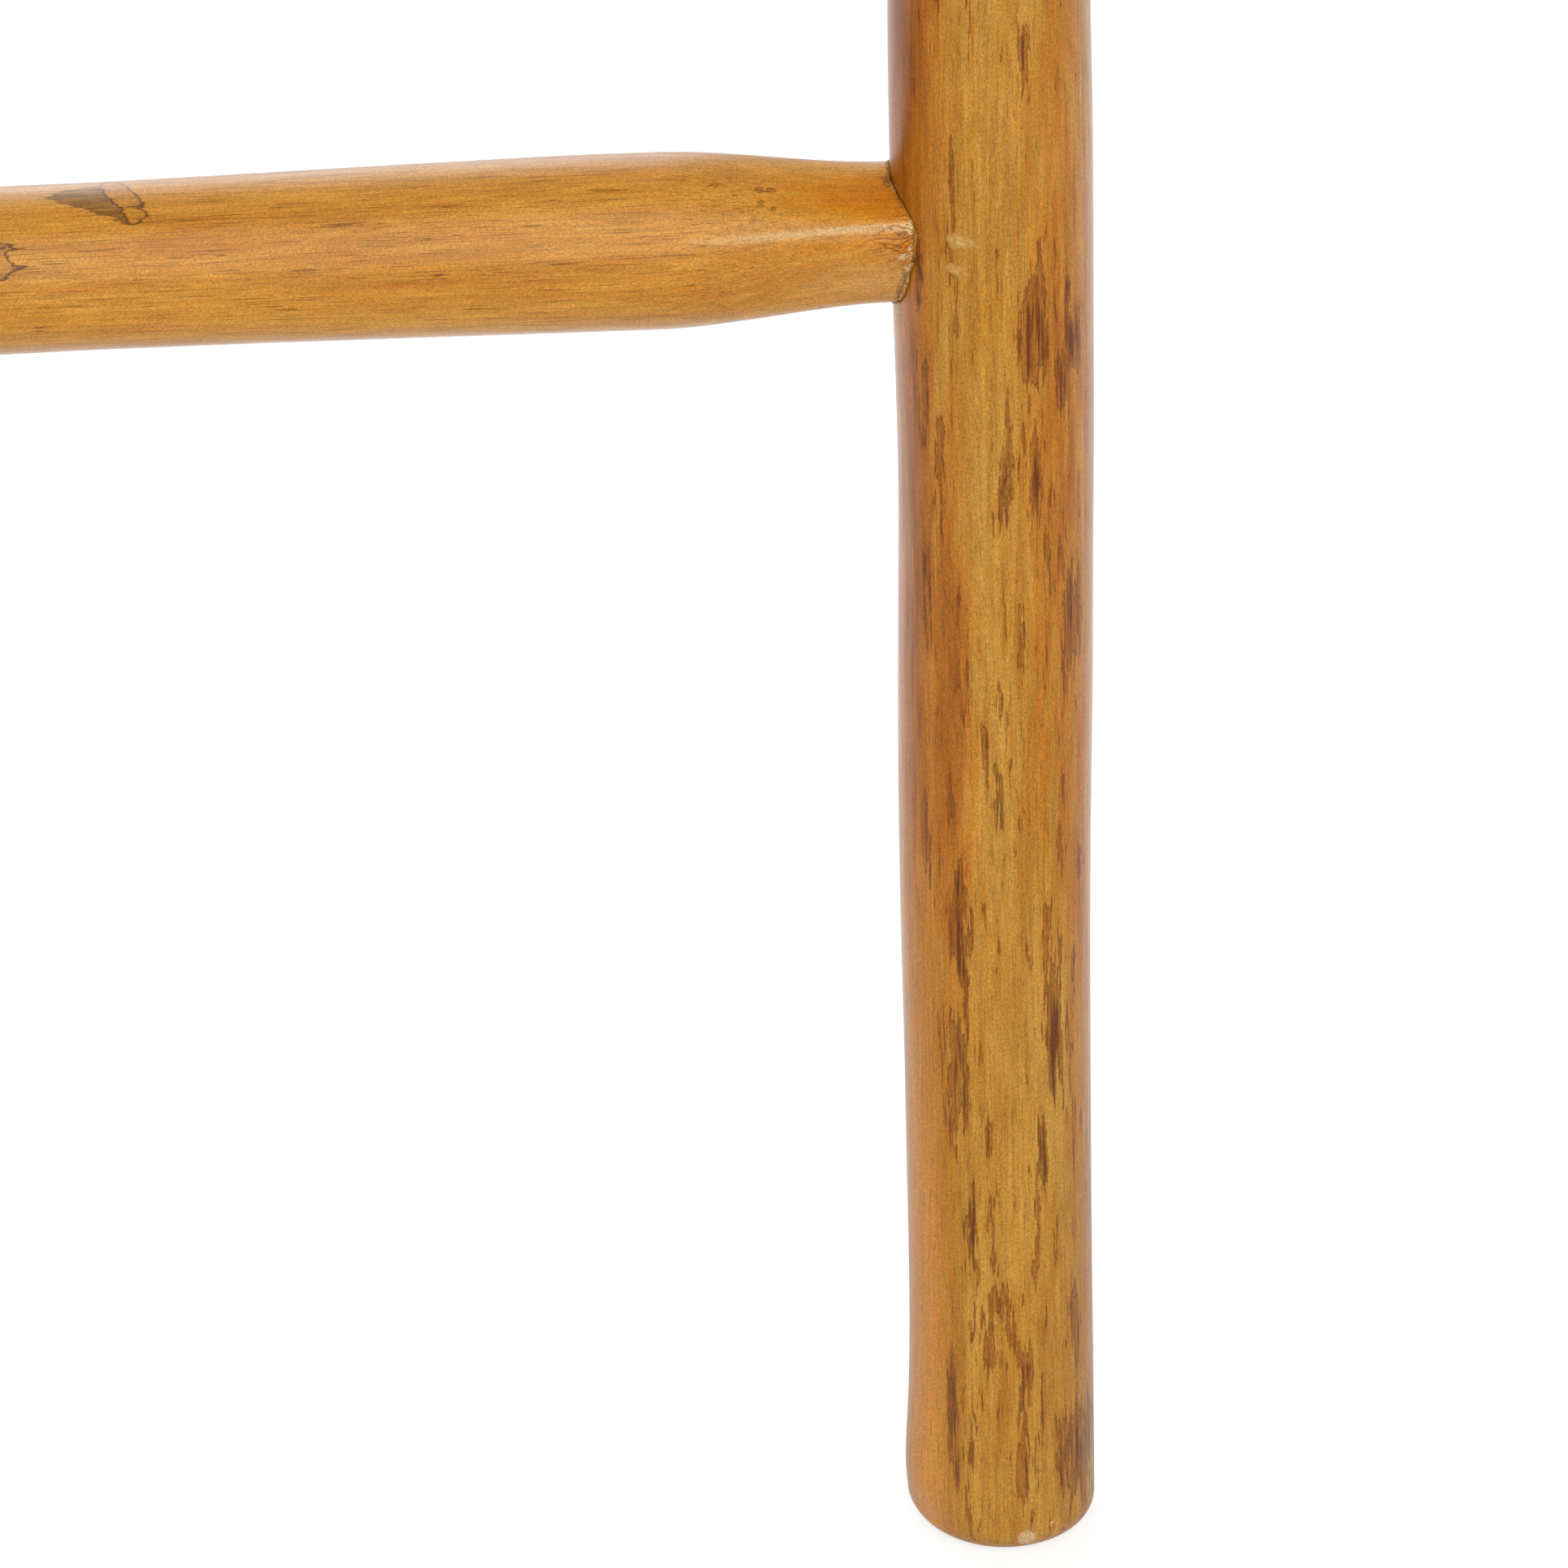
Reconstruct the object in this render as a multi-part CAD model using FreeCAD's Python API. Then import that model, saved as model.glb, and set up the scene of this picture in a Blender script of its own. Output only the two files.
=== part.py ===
import FreeCAD, Part
import math
import os

# A leaning blanket ladder in the rustic style: two peeled poles stand as rails, and shaved rungs are
# let into them.  Each rung is a peeled branch whose ends were shaved down four-square to a neck.  Past
# the neck the branch goes on as a round tenon, glued into a blind mortise in the rail.  The shoulder
# round the tenon is coped to the rail, with a line of glue squeezed out along it.  Two brads driven
# from the front hold every tenon, and wood filler closes the mouths of their holes.
#
# Millimetres.  +X runs to the right along the rungs, +Y to the back (the side that meets the wall) and
# +Z up the rails.  The origin is on the floor, midway between the two feet.

# ---- The ladder as a whole
rail_length = 1803.0
rail_spacing = 458.0            # between the rails' centres
first_rung_height = 367.0
top_overhang = 236.0            # of the rails above the top rung
rung_count = 5

# ---- Rails
rail_foot_diameter = 49.2
rail_tip_diameter = 46.4
rail_swell = 0.45               # on the radius, where an old whorl of branches thickens the pole
rail_swell_pitch = 352.0        # from one whorl to the next
rail_wander = 4.5               # how far the pole strays from a straight line near its tip
rail_wander_pitch = 1150.0      # length of one full wave of that
rail_sections = 15              # outlines that a pole is drawn through
foot_round = 7.0                # worn edge at the floor
tip_round = 8.0                 # sanded edge at the top

# ---- Rungs
rung_swell_diameter = 44.0      # where the shaving starts
rung_middle_diameter = 41.2
rung_bow = 1.6                  # how far the branch bends away from its own line
shave_length = 58.0
swell_fade = 84.0               # from the start of the shaving towards the plain middle
neck_squareness = 3.6           # exponent of the neck's outline: 2 is round, more is squarer
outline_points = 16             # that a rung's outline is drawn through

# ---- Joints
tenon_diameter = 24.0
neck_shoulder = 5.5             # how far the neck stands out round the tenon, at its corners
tenon_past_centre = 10.0        # how far the tenon goes past the rail's centre line
tenon_end_gap = 1.0             # room for glue under the tenon's end
tenon_clearance = 0.15          # on the radius
tenon_chamfer = 1.5
glue_line = 0.25                # between the coped shoulder and the rail
glue_bead = 1.3                 # squeezed out beyond it

# ---- Brads and the filler over them
brad_diameter = 1.6
brad_head_diameter = 2.6
brad_head_thickness = 1.0
brad_point_length = 2.5
brad_point_diameter = 0.4       # at its blunt end
brad_tip_cover = 2.6            # least wood left between a brad's point and the rail's back
brad_inset = 9.0                # from the rail's centre line towards the rung
brad_spacing = 8.0              # between the two brads of a joint
brad_rise = 3.4                 # of the pair's middle above the rung's centre line
filler_diameter = 3.6
filler_depth = 2.4

# ---- What differs from one branch to the next, from the lowest rung up
rung_girths = (1.0, 0.965, 1.02, 0.95, 0.985)
rung_tilts = (0.0, 3.0, -4.0, 2.5, -2.0)            # rise of the right end over the left one
bow_turns = (200.0, 80.0, 300.0, 150.0, 20.0)       # degrees, the side that each one bows to
ridge_turns = (20.0, 40.0, 12.0, 33.0, 25.0)        # degrees above the front, of a shaved corner

LEFT, RIGHT = -1, 1
SIDE_NAMES = {LEFT: "left", RIGHT: "right"}
WANDER_PHASES = {LEFT: (0.4, 2.3), RIGHT: (3.7, 0.9)}   # radians, sideways and front to back
SWELL_PHASES = {LEFT: 0.9, RIGHT: 0.0}

SAME_PLACE = 1e-3               # two distances closer than this are one

rung_spacing = (rail_length - first_rung_height - top_overhang) / (rung_count - 1)
rung_neck_diameter = tenon_diameter + 2 * neck_shoulder


# -------------------------------------------------------------------------------- rails

def rail_centre(side, z):
    """Centre of the pole at a height: its bends grow from nothing at the foot."""
    stray = rail_wander * z / rail_length
    wave = 2 * math.pi * z / rail_wander_pitch
    sideways, forwards = WANDER_PHASES[side]
    return FreeCAD.Vector(
        side * rail_spacing / 2 + stray * math.sin(wave + sideways),
        stray * math.sin(wave + forwards),
        z,
    )


def rail_radius(side, z):
    """Radius of the pole at a height: a slight taper, with a swelling at each whorl."""
    taper = (rail_tip_diameter - rail_foot_diameter) / 2 * z / rail_length
    whorl = math.cos(2 * math.pi * z / rail_swell_pitch + SWELL_PHASES[side])
    return rail_foot_diameter / 2 + taper + rail_swell * whorl


def pole(side, grow=0.0):
    """A rail before it is bored and its ends are eased; grow makes it thicker all along."""
    wires = []
    for step in range(rail_sections):
        z = rail_length * step / (rail_sections - 1)
        circle = Part.Circle(rail_centre(side, z), FreeCAD.Vector(0, 0, 1), rail_radius(side, z) + grow)
        wires.append(Part.Wire(circle.toShape()))
    return Part.makeLoft(wires, True, False)


def with_eased_ends(rail):
    """The rail with the sharp edges of its foot and its tip rounded."""
    for height, radius in ((0.0, foot_round), (rail_length, tip_round)):
        rim = []
        for edge in rail.Edges:
            low, high = edge.BoundBox.ZMin, edge.BoundBox.ZMax
            if max(abs(low - height), abs(high - height)) < SAME_PLACE:
                rim.append(edge)
        rail = rail.makeFillet(radius, rim)
    return rail


# -------------------------------------------------------------------------------- rungs
# A rung, its tenons, brads and filler are placed about the rung's own middle, with X along the rung,
# and are then laid between the two rails.

class Rung:
    """One rung's place between the rails, and what is particular to its branch."""

    def __init__(self, index):
        height = first_rung_height + rung_spacing * index
        which = index % len(rung_girths)
        rise = rung_tilts[which]
        self.ends = {side: rail_centre(side, height + side * rise / 2) for side in (LEFT, RIGHT)}
        line = self.ends[RIGHT] - self.ends[LEFT]
        self.half = line.Length / 2
        middle = (self.ends[LEFT] + self.ends[RIGHT]) / 2
        self.placement = FreeCAD.Placement(middle, FreeCAD.Rotation(FreeCAD.Vector(1, 0, 0), line))
        self.girth = rung_girths[which]
        self.bow_turn = math.radians(bow_turns[which])
        self.ridge_turn = math.radians(ridge_turns[which])

    def laid(self, shape):
        """The shape moved from the rung's own axes to the ladder's."""
        shape.Placement = self.placement.multiply(shape.Placement)
        return shape

    def rail_radius(self, side):
        return rail_radius(side, self.ends[side].z)

    def shoulder(self, side):
        """Distance from the rung's middle to the rail's surface."""
        return self.half - self.rail_radius(side)


def eased(share):
    """0 to 1 with a smooth start and end."""
    share = min(max(share, 0.0), 1.0)
    return share * share * (3 - 2 * share)


def branch_radius(from_shoulder):
    """Radius of a rung at a distance from the rail's surface."""
    if from_shoulder < shave_length:
        swelling = eased(from_shoulder / shave_length)
        return (rung_neck_diameter + (rung_swell_diameter - rung_neck_diameter) * swelling) / 2
    fade = math.exp(-(((from_shoulder - shave_length) / swell_fade) ** 2))
    return (rung_middle_diameter + (rung_swell_diameter - rung_middle_diameter) * fade) / 2


def branch_squareness(from_shoulder):
    """Exponent of the outline there: shaved four-square at the neck, and round past the shaving."""
    return 2 + (neck_squareness - 2) * (1 - eased(from_shoulder / shave_length))


def branch_outline(rung, x, radius, squareness):
    """Closed outline of the rung across its line, with its four corners at the full radius."""
    bow = rung_bow * math.cos(math.pi / 2 * x / rung.half) ** 2
    centre = FreeCAD.Vector(x, bow * math.cos(rung.bow_turn), bow * math.sin(rung.bow_turn))
    corner = 2 ** (1 / squareness - 1 / 2)
    points = []
    for step in range(outline_points):
        turn = 2 * math.pi * step / outline_points
        across = abs(math.cos(turn + math.pi / 4)) ** squareness
        down = abs(math.sin(turn + math.pi / 4)) ** squareness
        reach = radius * corner / (across + down) ** (1 / squareness)
        angle = turn + rung.ridge_turn
        points.append(centre + FreeCAD.Vector(0, -reach * math.cos(angle), reach * math.sin(angle)))
    curve = Part.BSplineCurve()
    curve.interpolate(points, PeriodicFlag=True)
    return Part.Wire(curve.toShape())


def branch(rung):
    """The rung's branch from one rail's centre line to the other's, before it is coped."""
    stations = []
    for side in (LEFT, RIGHT):
        shoulder = rung.shoulder(side)
        plain = shoulder - shave_length
        stations.append((side * rung.half, 0.0))
        for share in (0, 1 / 3, 2 / 3, 1):
            stations.append((side * (shoulder - shave_length * share), shave_length * share))
        for share in (1 / 3, 2 / 3):
            stations.append((side * plain * (1 - share), shave_length + plain * share))
    stations.append((0.0, rung.shoulder(RIGHT)))
    wires = []
    for x, from_shoulder in sorted(stations):
        radius = branch_radius(from_shoulder) * rung.girth
        wires.append(branch_outline(rung, x, radius, branch_squareness(from_shoulder)))
    return Part.makeLoft(wires, True, False)


def along(side, start, end, radius):
    """A round bar along the rung's line, between two distances from its middle."""
    outward = FreeCAD.Vector(side, 0, 0)
    return Part.makeCylinder(radius, end - start, outward * start, outward)


def tenon(rung, side):
    """The round tenon, from inside the neck to its chamfered end past the rail's centre."""
    radius = tenon_diameter / 2
    root = rung.shoulder(side) - radius / 2
    end = rung.half + tenon_past_centre
    body = along(side, root, end, radius)
    rim = [edge for edge in body.Edges if abs(abs(edge.CenterOfMass.x) - end) < SAME_PLACE]
    return rung.laid(body.makeChamfer(tenon_chamfer, rim))


def mortise(rung, side):
    """What the bit takes out of the rail for that tenon."""
    mouth = rung.shoulder(side) - rung.rail_radius(side) / 2
    bottom = rung.half + tenon_past_centre + tenon_end_gap
    return rung.laid(along(side, mouth, bottom, tenon_diameter / 2 + tenon_clearance))


# -------------------------------------------------------------- brads, filler and glue

def wood_behind(rung, side):
    """Front to back through the rail, where the brads go in."""
    return 2 * math.sqrt(rung.rail_radius(side) ** 2 - brad_inset**2)


def brad_length(rungs):
    """One length of brad for all, which keeps the cover behind its point at the thinnest joint."""
    thinnest = min(wood_behind(rung, side) for rung in rungs for side in (LEFT, RIGHT))
    return thinnest - filler_depth - brad_tip_cover


def brad_mouths(rung, side):
    """The two points on the rail's front where brads go in."""
    front = -wood_behind(rung, side) / 2
    heights = (brad_rise - brad_spacing / 2, brad_rise + brad_spacing / 2)
    return [FreeCAD.Vector(side * (rung.half - brad_inset), front, height) for height in heights]


def brads(rung, side, length):
    """The joint's two brads: a head set under the surface, a shank and a point near the back."""
    back = FreeCAD.Vector(0, 1, 0)
    made = []
    for mouth in brad_mouths(rung, side):
        seat = mouth + back * filler_depth
        neck = seat + back * brad_head_thickness
        point = seat + back * (length - brad_point_length)
        head = Part.makeCylinder(brad_head_diameter / 2, brad_head_thickness, seat, back)
        shank = Part.makeCylinder(brad_diameter / 2, (point - neck).Length, neck, back)
        tip = Part.makeCone(
            brad_diameter / 2, brad_point_diameter / 2, brad_point_length, point, back
        )
        made.append(rung.laid(head.fuse([shank, tip]).removeSplitter()))
    return made


def filler_holes(rung, side):
    """The holes over the brads' heads, run out past the rail's surface."""
    back = FreeCAD.Vector(0, 1, 0)
    holes = []
    for mouth in brad_mouths(rung, side):
        start = mouth - back * filler_depth
        hole = Part.makeCylinder(filler_diameter / 2, 2 * filler_depth, start, back)
        holes.append(rung.laid(hole))
    return holes


def glue(rung, side, bead_pole, hollows):
    """The glue between shoulder and rail, with the bead that was squeezed out round the neck."""
    start = rung.shoulder(side) - rung.rail_radius(side) / 2
    radius = branch_radius(0) * rung.girth + glue_bead
    outline = branch_outline(rung, side * start, radius, branch_squareness(0))
    collar = Part.Face(outline).extrude(FreeCAD.Vector(side * (rung.half - start), 0, 0))
    return rung.laid(collar).common(bead_pole).cut(hollows)


# ---------------------------------------------------------------------------- assembly

def build():
    """Every node of the ladder, by name."""
    nodes = {}
    sides = (LEFT, RIGHT)
    bare = {side: pole(side) for side in sides}
    coping = [pole(side, glue_line) for side in sides]
    beading = {side: pole(side, glue_line + glue_bead) for side in sides}
    bores = {side: [] for side in sides}
    rungs = [Rung(index) for index in range(rung_count)]
    length = brad_length(rungs)
    for number, rung in enumerate(rungs, 1):
        coped = rung.laid(branch(rung)).cut(coping)
        drilled = []
        for side in sides:
            joint = f"{SIDE_NAMES[side]}_{number}"
            peg = tenon(rung, side)
            nails = brads(rung, side, length)
            holes = filler_holes(rung, side)
            drilled.append(peg.cut(nails))
            bores[side] += [mortise(rung, side)] + holes + nails
            nodes[f"brads_{joint}"] = Part.makeCompound(nails)
            nodes[f"filler_{joint}"] = Part.makeCompound([hole.common(bare[side]) for hole in holes])
            nodes[f"glue_{joint}"] = glue(rung, side, beading[side], [bare[side], coped, peg])
        nodes[f"rung_{number}"] = coped.fuse(drilled)
    for side in sides:
        nodes[f"{SIDE_NAMES[side]}_rail"] = with_eased_ends(bare[side]).cut(bores[side])
    return nodes


def main():
    os.makedirs("parts", exist_ok=True)
    for name, shape in sorted(build().items()):
        solids = shape.Solids
        whole = solids[0] if len(solids) == 1 else Part.makeCompound(solids)
        whole.exportStep(os.path.join("parts", name + ".step"))
        print(f"{name:16s} solids {len(solids)}  volume {whole.Volume:12.1f}  valid {whole.isValid()}")


main()
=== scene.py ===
import math

import bmesh
import bpy
import numpy as np
from mathutils import Matrix, Vector, noise


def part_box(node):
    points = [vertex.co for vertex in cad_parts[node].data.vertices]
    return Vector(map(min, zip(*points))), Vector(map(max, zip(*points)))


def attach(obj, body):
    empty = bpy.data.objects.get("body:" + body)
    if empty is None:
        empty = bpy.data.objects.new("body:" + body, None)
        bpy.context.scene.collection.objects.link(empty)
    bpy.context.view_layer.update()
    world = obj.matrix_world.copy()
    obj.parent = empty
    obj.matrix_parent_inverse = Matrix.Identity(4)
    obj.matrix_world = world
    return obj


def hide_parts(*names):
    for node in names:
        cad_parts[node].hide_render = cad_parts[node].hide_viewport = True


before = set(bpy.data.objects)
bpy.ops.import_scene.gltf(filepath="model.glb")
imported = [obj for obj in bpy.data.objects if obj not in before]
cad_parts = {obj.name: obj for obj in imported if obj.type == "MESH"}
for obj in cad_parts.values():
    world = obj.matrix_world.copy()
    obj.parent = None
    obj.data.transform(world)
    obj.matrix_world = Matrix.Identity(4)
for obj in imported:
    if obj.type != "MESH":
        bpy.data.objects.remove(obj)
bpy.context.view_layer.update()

MM = 0.001

# ================================================================================== the two rails
# Each rail is one small tree, felled, peeled of its bark, dried, sanded and lacquered: a round
# hardwood pole, a little thicker where branches grew, cut square at both ends with the edges eased.
# The rungs' tenons are let into it, so it is the piece that carries everything else.

rail_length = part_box("right_rail")[1].z
rail_spacing = 458 * MM
rail_sizes = {
    "Length": rail_length,
    "Foot diameter": 49.2 * MM,
    "Tip diameter": 46.4 * MM,
    "Swell": 0.45 * MM,
    "Swell pitch": 352 * MM,
    "Wander": 4.5 * MM,
    "Wander pitch": 1150 * MM,
    "Foot round": 7 * MM,
    "Tip round": 8 * MM,
}
rails = {
    "left_rail": {
        "Place": -rail_spacing / 2,
        "Sideways phase": 0.4,
        "Forward phase": 2.3,
        "Swell phase": 0.9,
        "Grain start": 3.0,
    },
    "right_rail": {
        "Place": rail_spacing / 2,
        "Sideways phase": 3.7,
        "Forward phase": 0.9,
        "Swell phase": 0.0,
        "Grain start": 6.0,
    },
}
pole_rows, pole_sides = 640, 120
end_share, round_share = 0.02, 0.02             # of the rows, on each end's grain and eased edge


def rail_centre(name, height):
    """Centre of a rail at a height: its bends grow from nothing at the foot."""
    stray = rail_sizes["Wander"] * height / rail_length
    wave = 2 * math.pi * height / rail_sizes["Wander pitch"]
    x = rails[name]["Place"] + stray * math.sin(wave + rails[name]["Sideways phase"])
    return Vector((x, stray * math.sin(wave + rails[name]["Forward phase"]), height))


def rail_radius(name, height):
    """Radius of a rail at a height: a slight taper, with a swelling at each whorl."""
    foot, tip = rail_sizes["Foot diameter"] / 2, rail_sizes["Tip diameter"] / 2
    whorl = math.cos(2 * math.pi * height / rail_sizes["Swell pitch"] + rails[name]["Swell phase"])
    return foot + (tip - foot) * height / rail_length + rail_sizes["Swell"] * whorl


def add(tree, kind, inputs=(), **settings):
    """Adds a node with its settings. Inputs are values, sockets or nodes, by place or by name."""
    node = tree.nodes.new(kind)
    for name, value in settings.items():
        setattr(node, name, value)
    shown = [socket for socket in node.inputs if socket.enabled]
    for key, value in inputs.items() if isinstance(inputs, dict) else enumerate(inputs):
        socket = node.inputs[key] if isinstance(key, str) else shown[key]
        if isinstance(value, bpy.types.Node):
            value = next(output for output in value.outputs if output.enabled)
        if isinstance(value, bpy.types.NodeSocket):
            tree.links.new(value, socket)
        else:
            socket.default_value = value
    return node


def new_tree(name, **inputs):
    """A tree of geometry nodes and its inputs, whose names are given by their kind of socket."""
    tree = bpy.data.node_groups.new(name, "GeometryNodeTree")
    for kind, sockets in inputs.items():
        for socket in sockets:
            tree.interface.new_socket(socket, in_out="INPUT", socket_type="NodeSocket" + kind)
    tree.interface.new_socket("Geometry", in_out="OUTPUT", socket_type="NodeSocketGeometry")
    return tree, add(tree, "NodeGroupInput").outputs


def end_tree(tree, geometry, material):
    """Ends a tree of geometry nodes in a plain smooth mesh of one material."""
    geometry = add(tree, "GeometryNodeRealizeInstances", {"Geometry": geometry})
    geometry = add(tree, "GeometryNodeSetShadeSmooth", {"Geometry": geometry})
    geometry = add(tree, "GeometryNodeSetMaterial", {"Geometry": geometry, "Material": material})
    add(tree, "NodeGroupOutput", [geometry])


def shaped(name, tree, values, start=None):
    """An object with the plain mesh that a tree of geometry nodes makes of the start mesh."""
    piece = bpy.data.objects.new(name, start or bpy.data.meshes.new(name))
    bpy.context.scene.collection.objects.link(piece)
    modifier = piece.modifiers.new("shape", "NODES")
    modifier.node_group = tree
    for item in tree.interface.items_tree:
        if item.in_out == "INPUT" and item.name in values:
            modifier[item.identifier] = values[item.name]
    bpy.context.view_layer.update()
    graph = bpy.context.evaluated_depsgraph_get()
    mesh = bpy.data.meshes.new_from_object(piece.evaluated_get(graph))
    piece.modifiers.remove(modifier)
    piece.data = mesh
    return piece


# The pole is drawn as a sheet rolled up round its centre line: the sheet runs from the middle of the
# foot's end grain, over the eased edge, up the side and in to the middle of the tip's end grain.
pole, size = new_tree("Peeled pole", Float=[*rail_sizes, *rails["left_rail"]], Material=["Material"])
sheet_sizes = {"Size X": 1.0, "Size Y": 1.0, "Vertices X": pole_rows, "Vertices Y": pole_sides + 1}
sheet = add(pole, "GeometryNodeMeshGrid", sheet_sizes)
on_sheet = add(pole, "ShaderNodeSeparateXYZ", [add(pole, "GeometryNodeInputPosition")]).outputs
share = add(pole, "ShaderNodeMath", (on_sheet["X"], 0.5), operation="ADD")
turn = add(pole, "ShaderNodeMath", (on_sheet["Y"], -2 * math.pi), operation="MULTIPLY")
side_start = end_share + round_share
foot_end = add(pole, "ShaderNodeMapRange", (share, 0.0, end_share, 0.0, 1.0))
foot_bend = add(pole, "ShaderNodeMapRange", (share, end_share, side_start, 0.0, math.pi / 2))
side = add(pole, "ShaderNodeMapRange", (share, side_start, 1 - side_start, 0.0, 1.0))
tip_bend = add(pole, "ShaderNodeMapRange", (share, 1 - side_start, 1 - end_share, 0.0, math.pi / 2))
tip_end = add(pole, "ShaderNodeMapRange", (share, 1 - end_share, 1.0, 0.0, 1.0))

# height = foot round (1 - cos) + straight side + tip round sin
straight = add(pole, "ShaderNodeMath", (size["Length"], size["Foot round"]), operation="SUBTRACT")
straight = add(pole, "ShaderNodeMath", (straight, size["Tip round"]), operation="SUBTRACT")
climb = add(pole, "ShaderNodeMath", (side, straight), operation="MULTIPLY")
cosine = add(pole, "ShaderNodeMath", [foot_bend], operation="COSINE")
over_foot = add(pole, "ShaderNodeMath", (1.0, cosine), operation="SUBTRACT")
climb = add(pole, "ShaderNodeMath", (over_foot, size["Foot round"], climb), operation="MULTIPLY_ADD")
sine = add(pole, "ShaderNodeMath", [tip_bend], operation="SINE")
height = add(pole, "ShaderNodeMath", (sine, size["Tip round"], climb), operation="MULTIPLY_ADD")
up = add(pole, "ShaderNodeMath", (height, size["Length"]), operation="DIVIDE")

# inset = foot round (1 - sin) + tip round (1 - cos)
sine = add(pole, "ShaderNodeMath", [foot_bend], operation="SINE")
inset = add(pole, "ShaderNodeMath", (1.0, sine), operation="SUBTRACT")
inset = add(pole, "ShaderNodeMath", (inset, size["Foot round"]), operation="MULTIPLY")
cosine = add(pole, "ShaderNodeMath", [tip_bend], operation="COSINE")
tip_inset = add(pole, "ShaderNodeMath", (1.0, cosine), operation="SUBTRACT")
inset = add(pole, "ShaderNodeMath", (tip_inset, size["Tip round"], inset), operation="MULTIPLY_ADD")

# radius = taper + whorls - inset, drawn in to nothing over the two ends
taper = add(pole, "ShaderNodeMapRange", (up, 0.0, 1.0, size["Foot diameter"], size["Tip diameter"]))
whorl = add(pole, "ShaderNodeMath", (height, size["Swell pitch"]), operation="DIVIDE")
whorl = add(pole, "ShaderNodeMath", (whorl, 2 * math.pi, size["Swell phase"]), operation="MULTIPLY_ADD")
whorl = add(pole, "ShaderNodeMath", [whorl], operation="COSINE")
whorl = add(pole, "ShaderNodeMath", (whorl, size["Swell"]), operation="MULTIPLY")
radius = add(pole, "ShaderNodeMath", (taper, 0.5, whorl), operation="MULTIPLY_ADD")
radius = add(pole, "ShaderNodeMath", (radius, inset), operation="SUBTRACT")
drawn_in = add(pole, "ShaderNodeMath", (foot_end, tip_end), operation="SUBTRACT")
radius = add(pole, "ShaderNodeMath", (radius, drawn_in), operation="MULTIPLY")

# the centre line strays more the higher it is
wave = add(pole, "ShaderNodeMath", (height, size["Wander pitch"]), operation="DIVIDE")
wave = add(pole, "ShaderNodeMath", (wave, 2 * math.pi), operation="MULTIPLY")
stray = add(pole, "ShaderNodeMath", (up, size["Wander"]), operation="MULTIPLY")
sideways = add(pole, "ShaderNodeMath", (wave, size["Sideways phase"]), operation="ADD")
sideways = add(pole, "ShaderNodeMath", [sideways], operation="SINE")
sideways = add(pole, "ShaderNodeMath", (sideways, stray, size["Place"]), operation="MULTIPLY_ADD")
forward = add(pole, "ShaderNodeMath", (wave, size["Forward phase"]), operation="ADD")
forward = add(pole, "ShaderNodeMath", [forward], operation="SINE")
forward = add(pole, "ShaderNodeMath", (forward, stray), operation="MULTIPLY")
centre = add(pole, "ShaderNodeCombineXYZ", (sideways, forward, 0.0))

# a turn of nothing is the front of the pole, a quarter turn its right side
across = add(pole, "ShaderNodeMath", [turn], operation="SINE")
across = add(pole, "ShaderNodeMath", (across, radius), operation="MULTIPLY")
behind = add(pole, "ShaderNodeMath", [turn], operation="COSINE")
behind = add(pole, "ShaderNodeMath", (behind, radius), operation="MULTIPLY")
behind = add(pole, "ShaderNodeMath", (behind, -1.0), operation="MULTIPLY")
from_pith = add(pole, "ShaderNodeCombineXYZ", (across, behind, height))
place = add(pole, "ShaderNodeVectorMath", (from_pith, centre), operation="ADD")

# what the wood's material reads: the place in the tree, and how far the surface is end grain
start = add(pole, "ShaderNodeCombineXYZ", (0.0, 0.0, size["Grain start"]))
in_grain = add(pole, "ShaderNodeVectorMath", (from_pith, start), operation="ADD")
cut = add(pole, "ShaderNodeMapRange", (share, end_share, side_start, 1.0, 0.0))
cut_tip = add(pole, "ShaderNodeMapRange", (share, 1 - side_start, 1 - end_share, 0.0, 1.0))
cut = add(pole, "ShaderNodeMath", (cut, cut_tip), operation="MAXIMUM")
kept = {"Geometry": sheet.outputs["Mesh"], "Name": "in_grain", "Value": in_grain}
rolled = add(pole, "GeometryNodeStoreNamedAttribute", kept, data_type="FLOAT_VECTOR")
rolled = add(pole, "GeometryNodeStoreNamedAttribute", {"Geometry": rolled, "Name": "cut", "Value": cut})
rolled = add(pole, "GeometryNodeSetPosition", {"Geometry": rolled, "Position": place})
end_tree(pole, rolled, size["Material"])

# Peeling and sanding leave long shallow flats along the grain and a finer unevenness over them. This
# tree also closes the seam and the middles of the ends, where many points of a sheet are one.
peeled_rail = {
    "Flat width": 22 * MM,
    "Flat length": 130 * MM,
    "Flat depth": 0.5 * MM,
    "Ripple width": 4 * MM,
    "Ripple length": 22 * MM,
    "Ripple depth": 0.09 * MM,
    "Tear width": 1.5 * MM,
    "Tear length": 4.5 * MM,
    "Tear depth": 1.8 * MM,
    "Merge": 0.002 * MM,
}
peeled, size = new_tree(
    "Peeled surface", Geometry=["Geometry"], Float=peeled_rail, Material=["Material"]
)
in_grain = add(peeled, "GeometryNodeInputNamedAttribute", {"Name": "in_grain"}, data_type="FLOAT_VECTOR")
cut = add(peeled, "GeometryNodeInputNamedAttribute", {"Name": "cut"})
torn = add(peeled, "GeometryNodeInputNamedAttribute", {"Name": "torn"})
lift = add(peeled, "GeometryNodeInputNamedAttribute", {"Name": "rise"})
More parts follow.
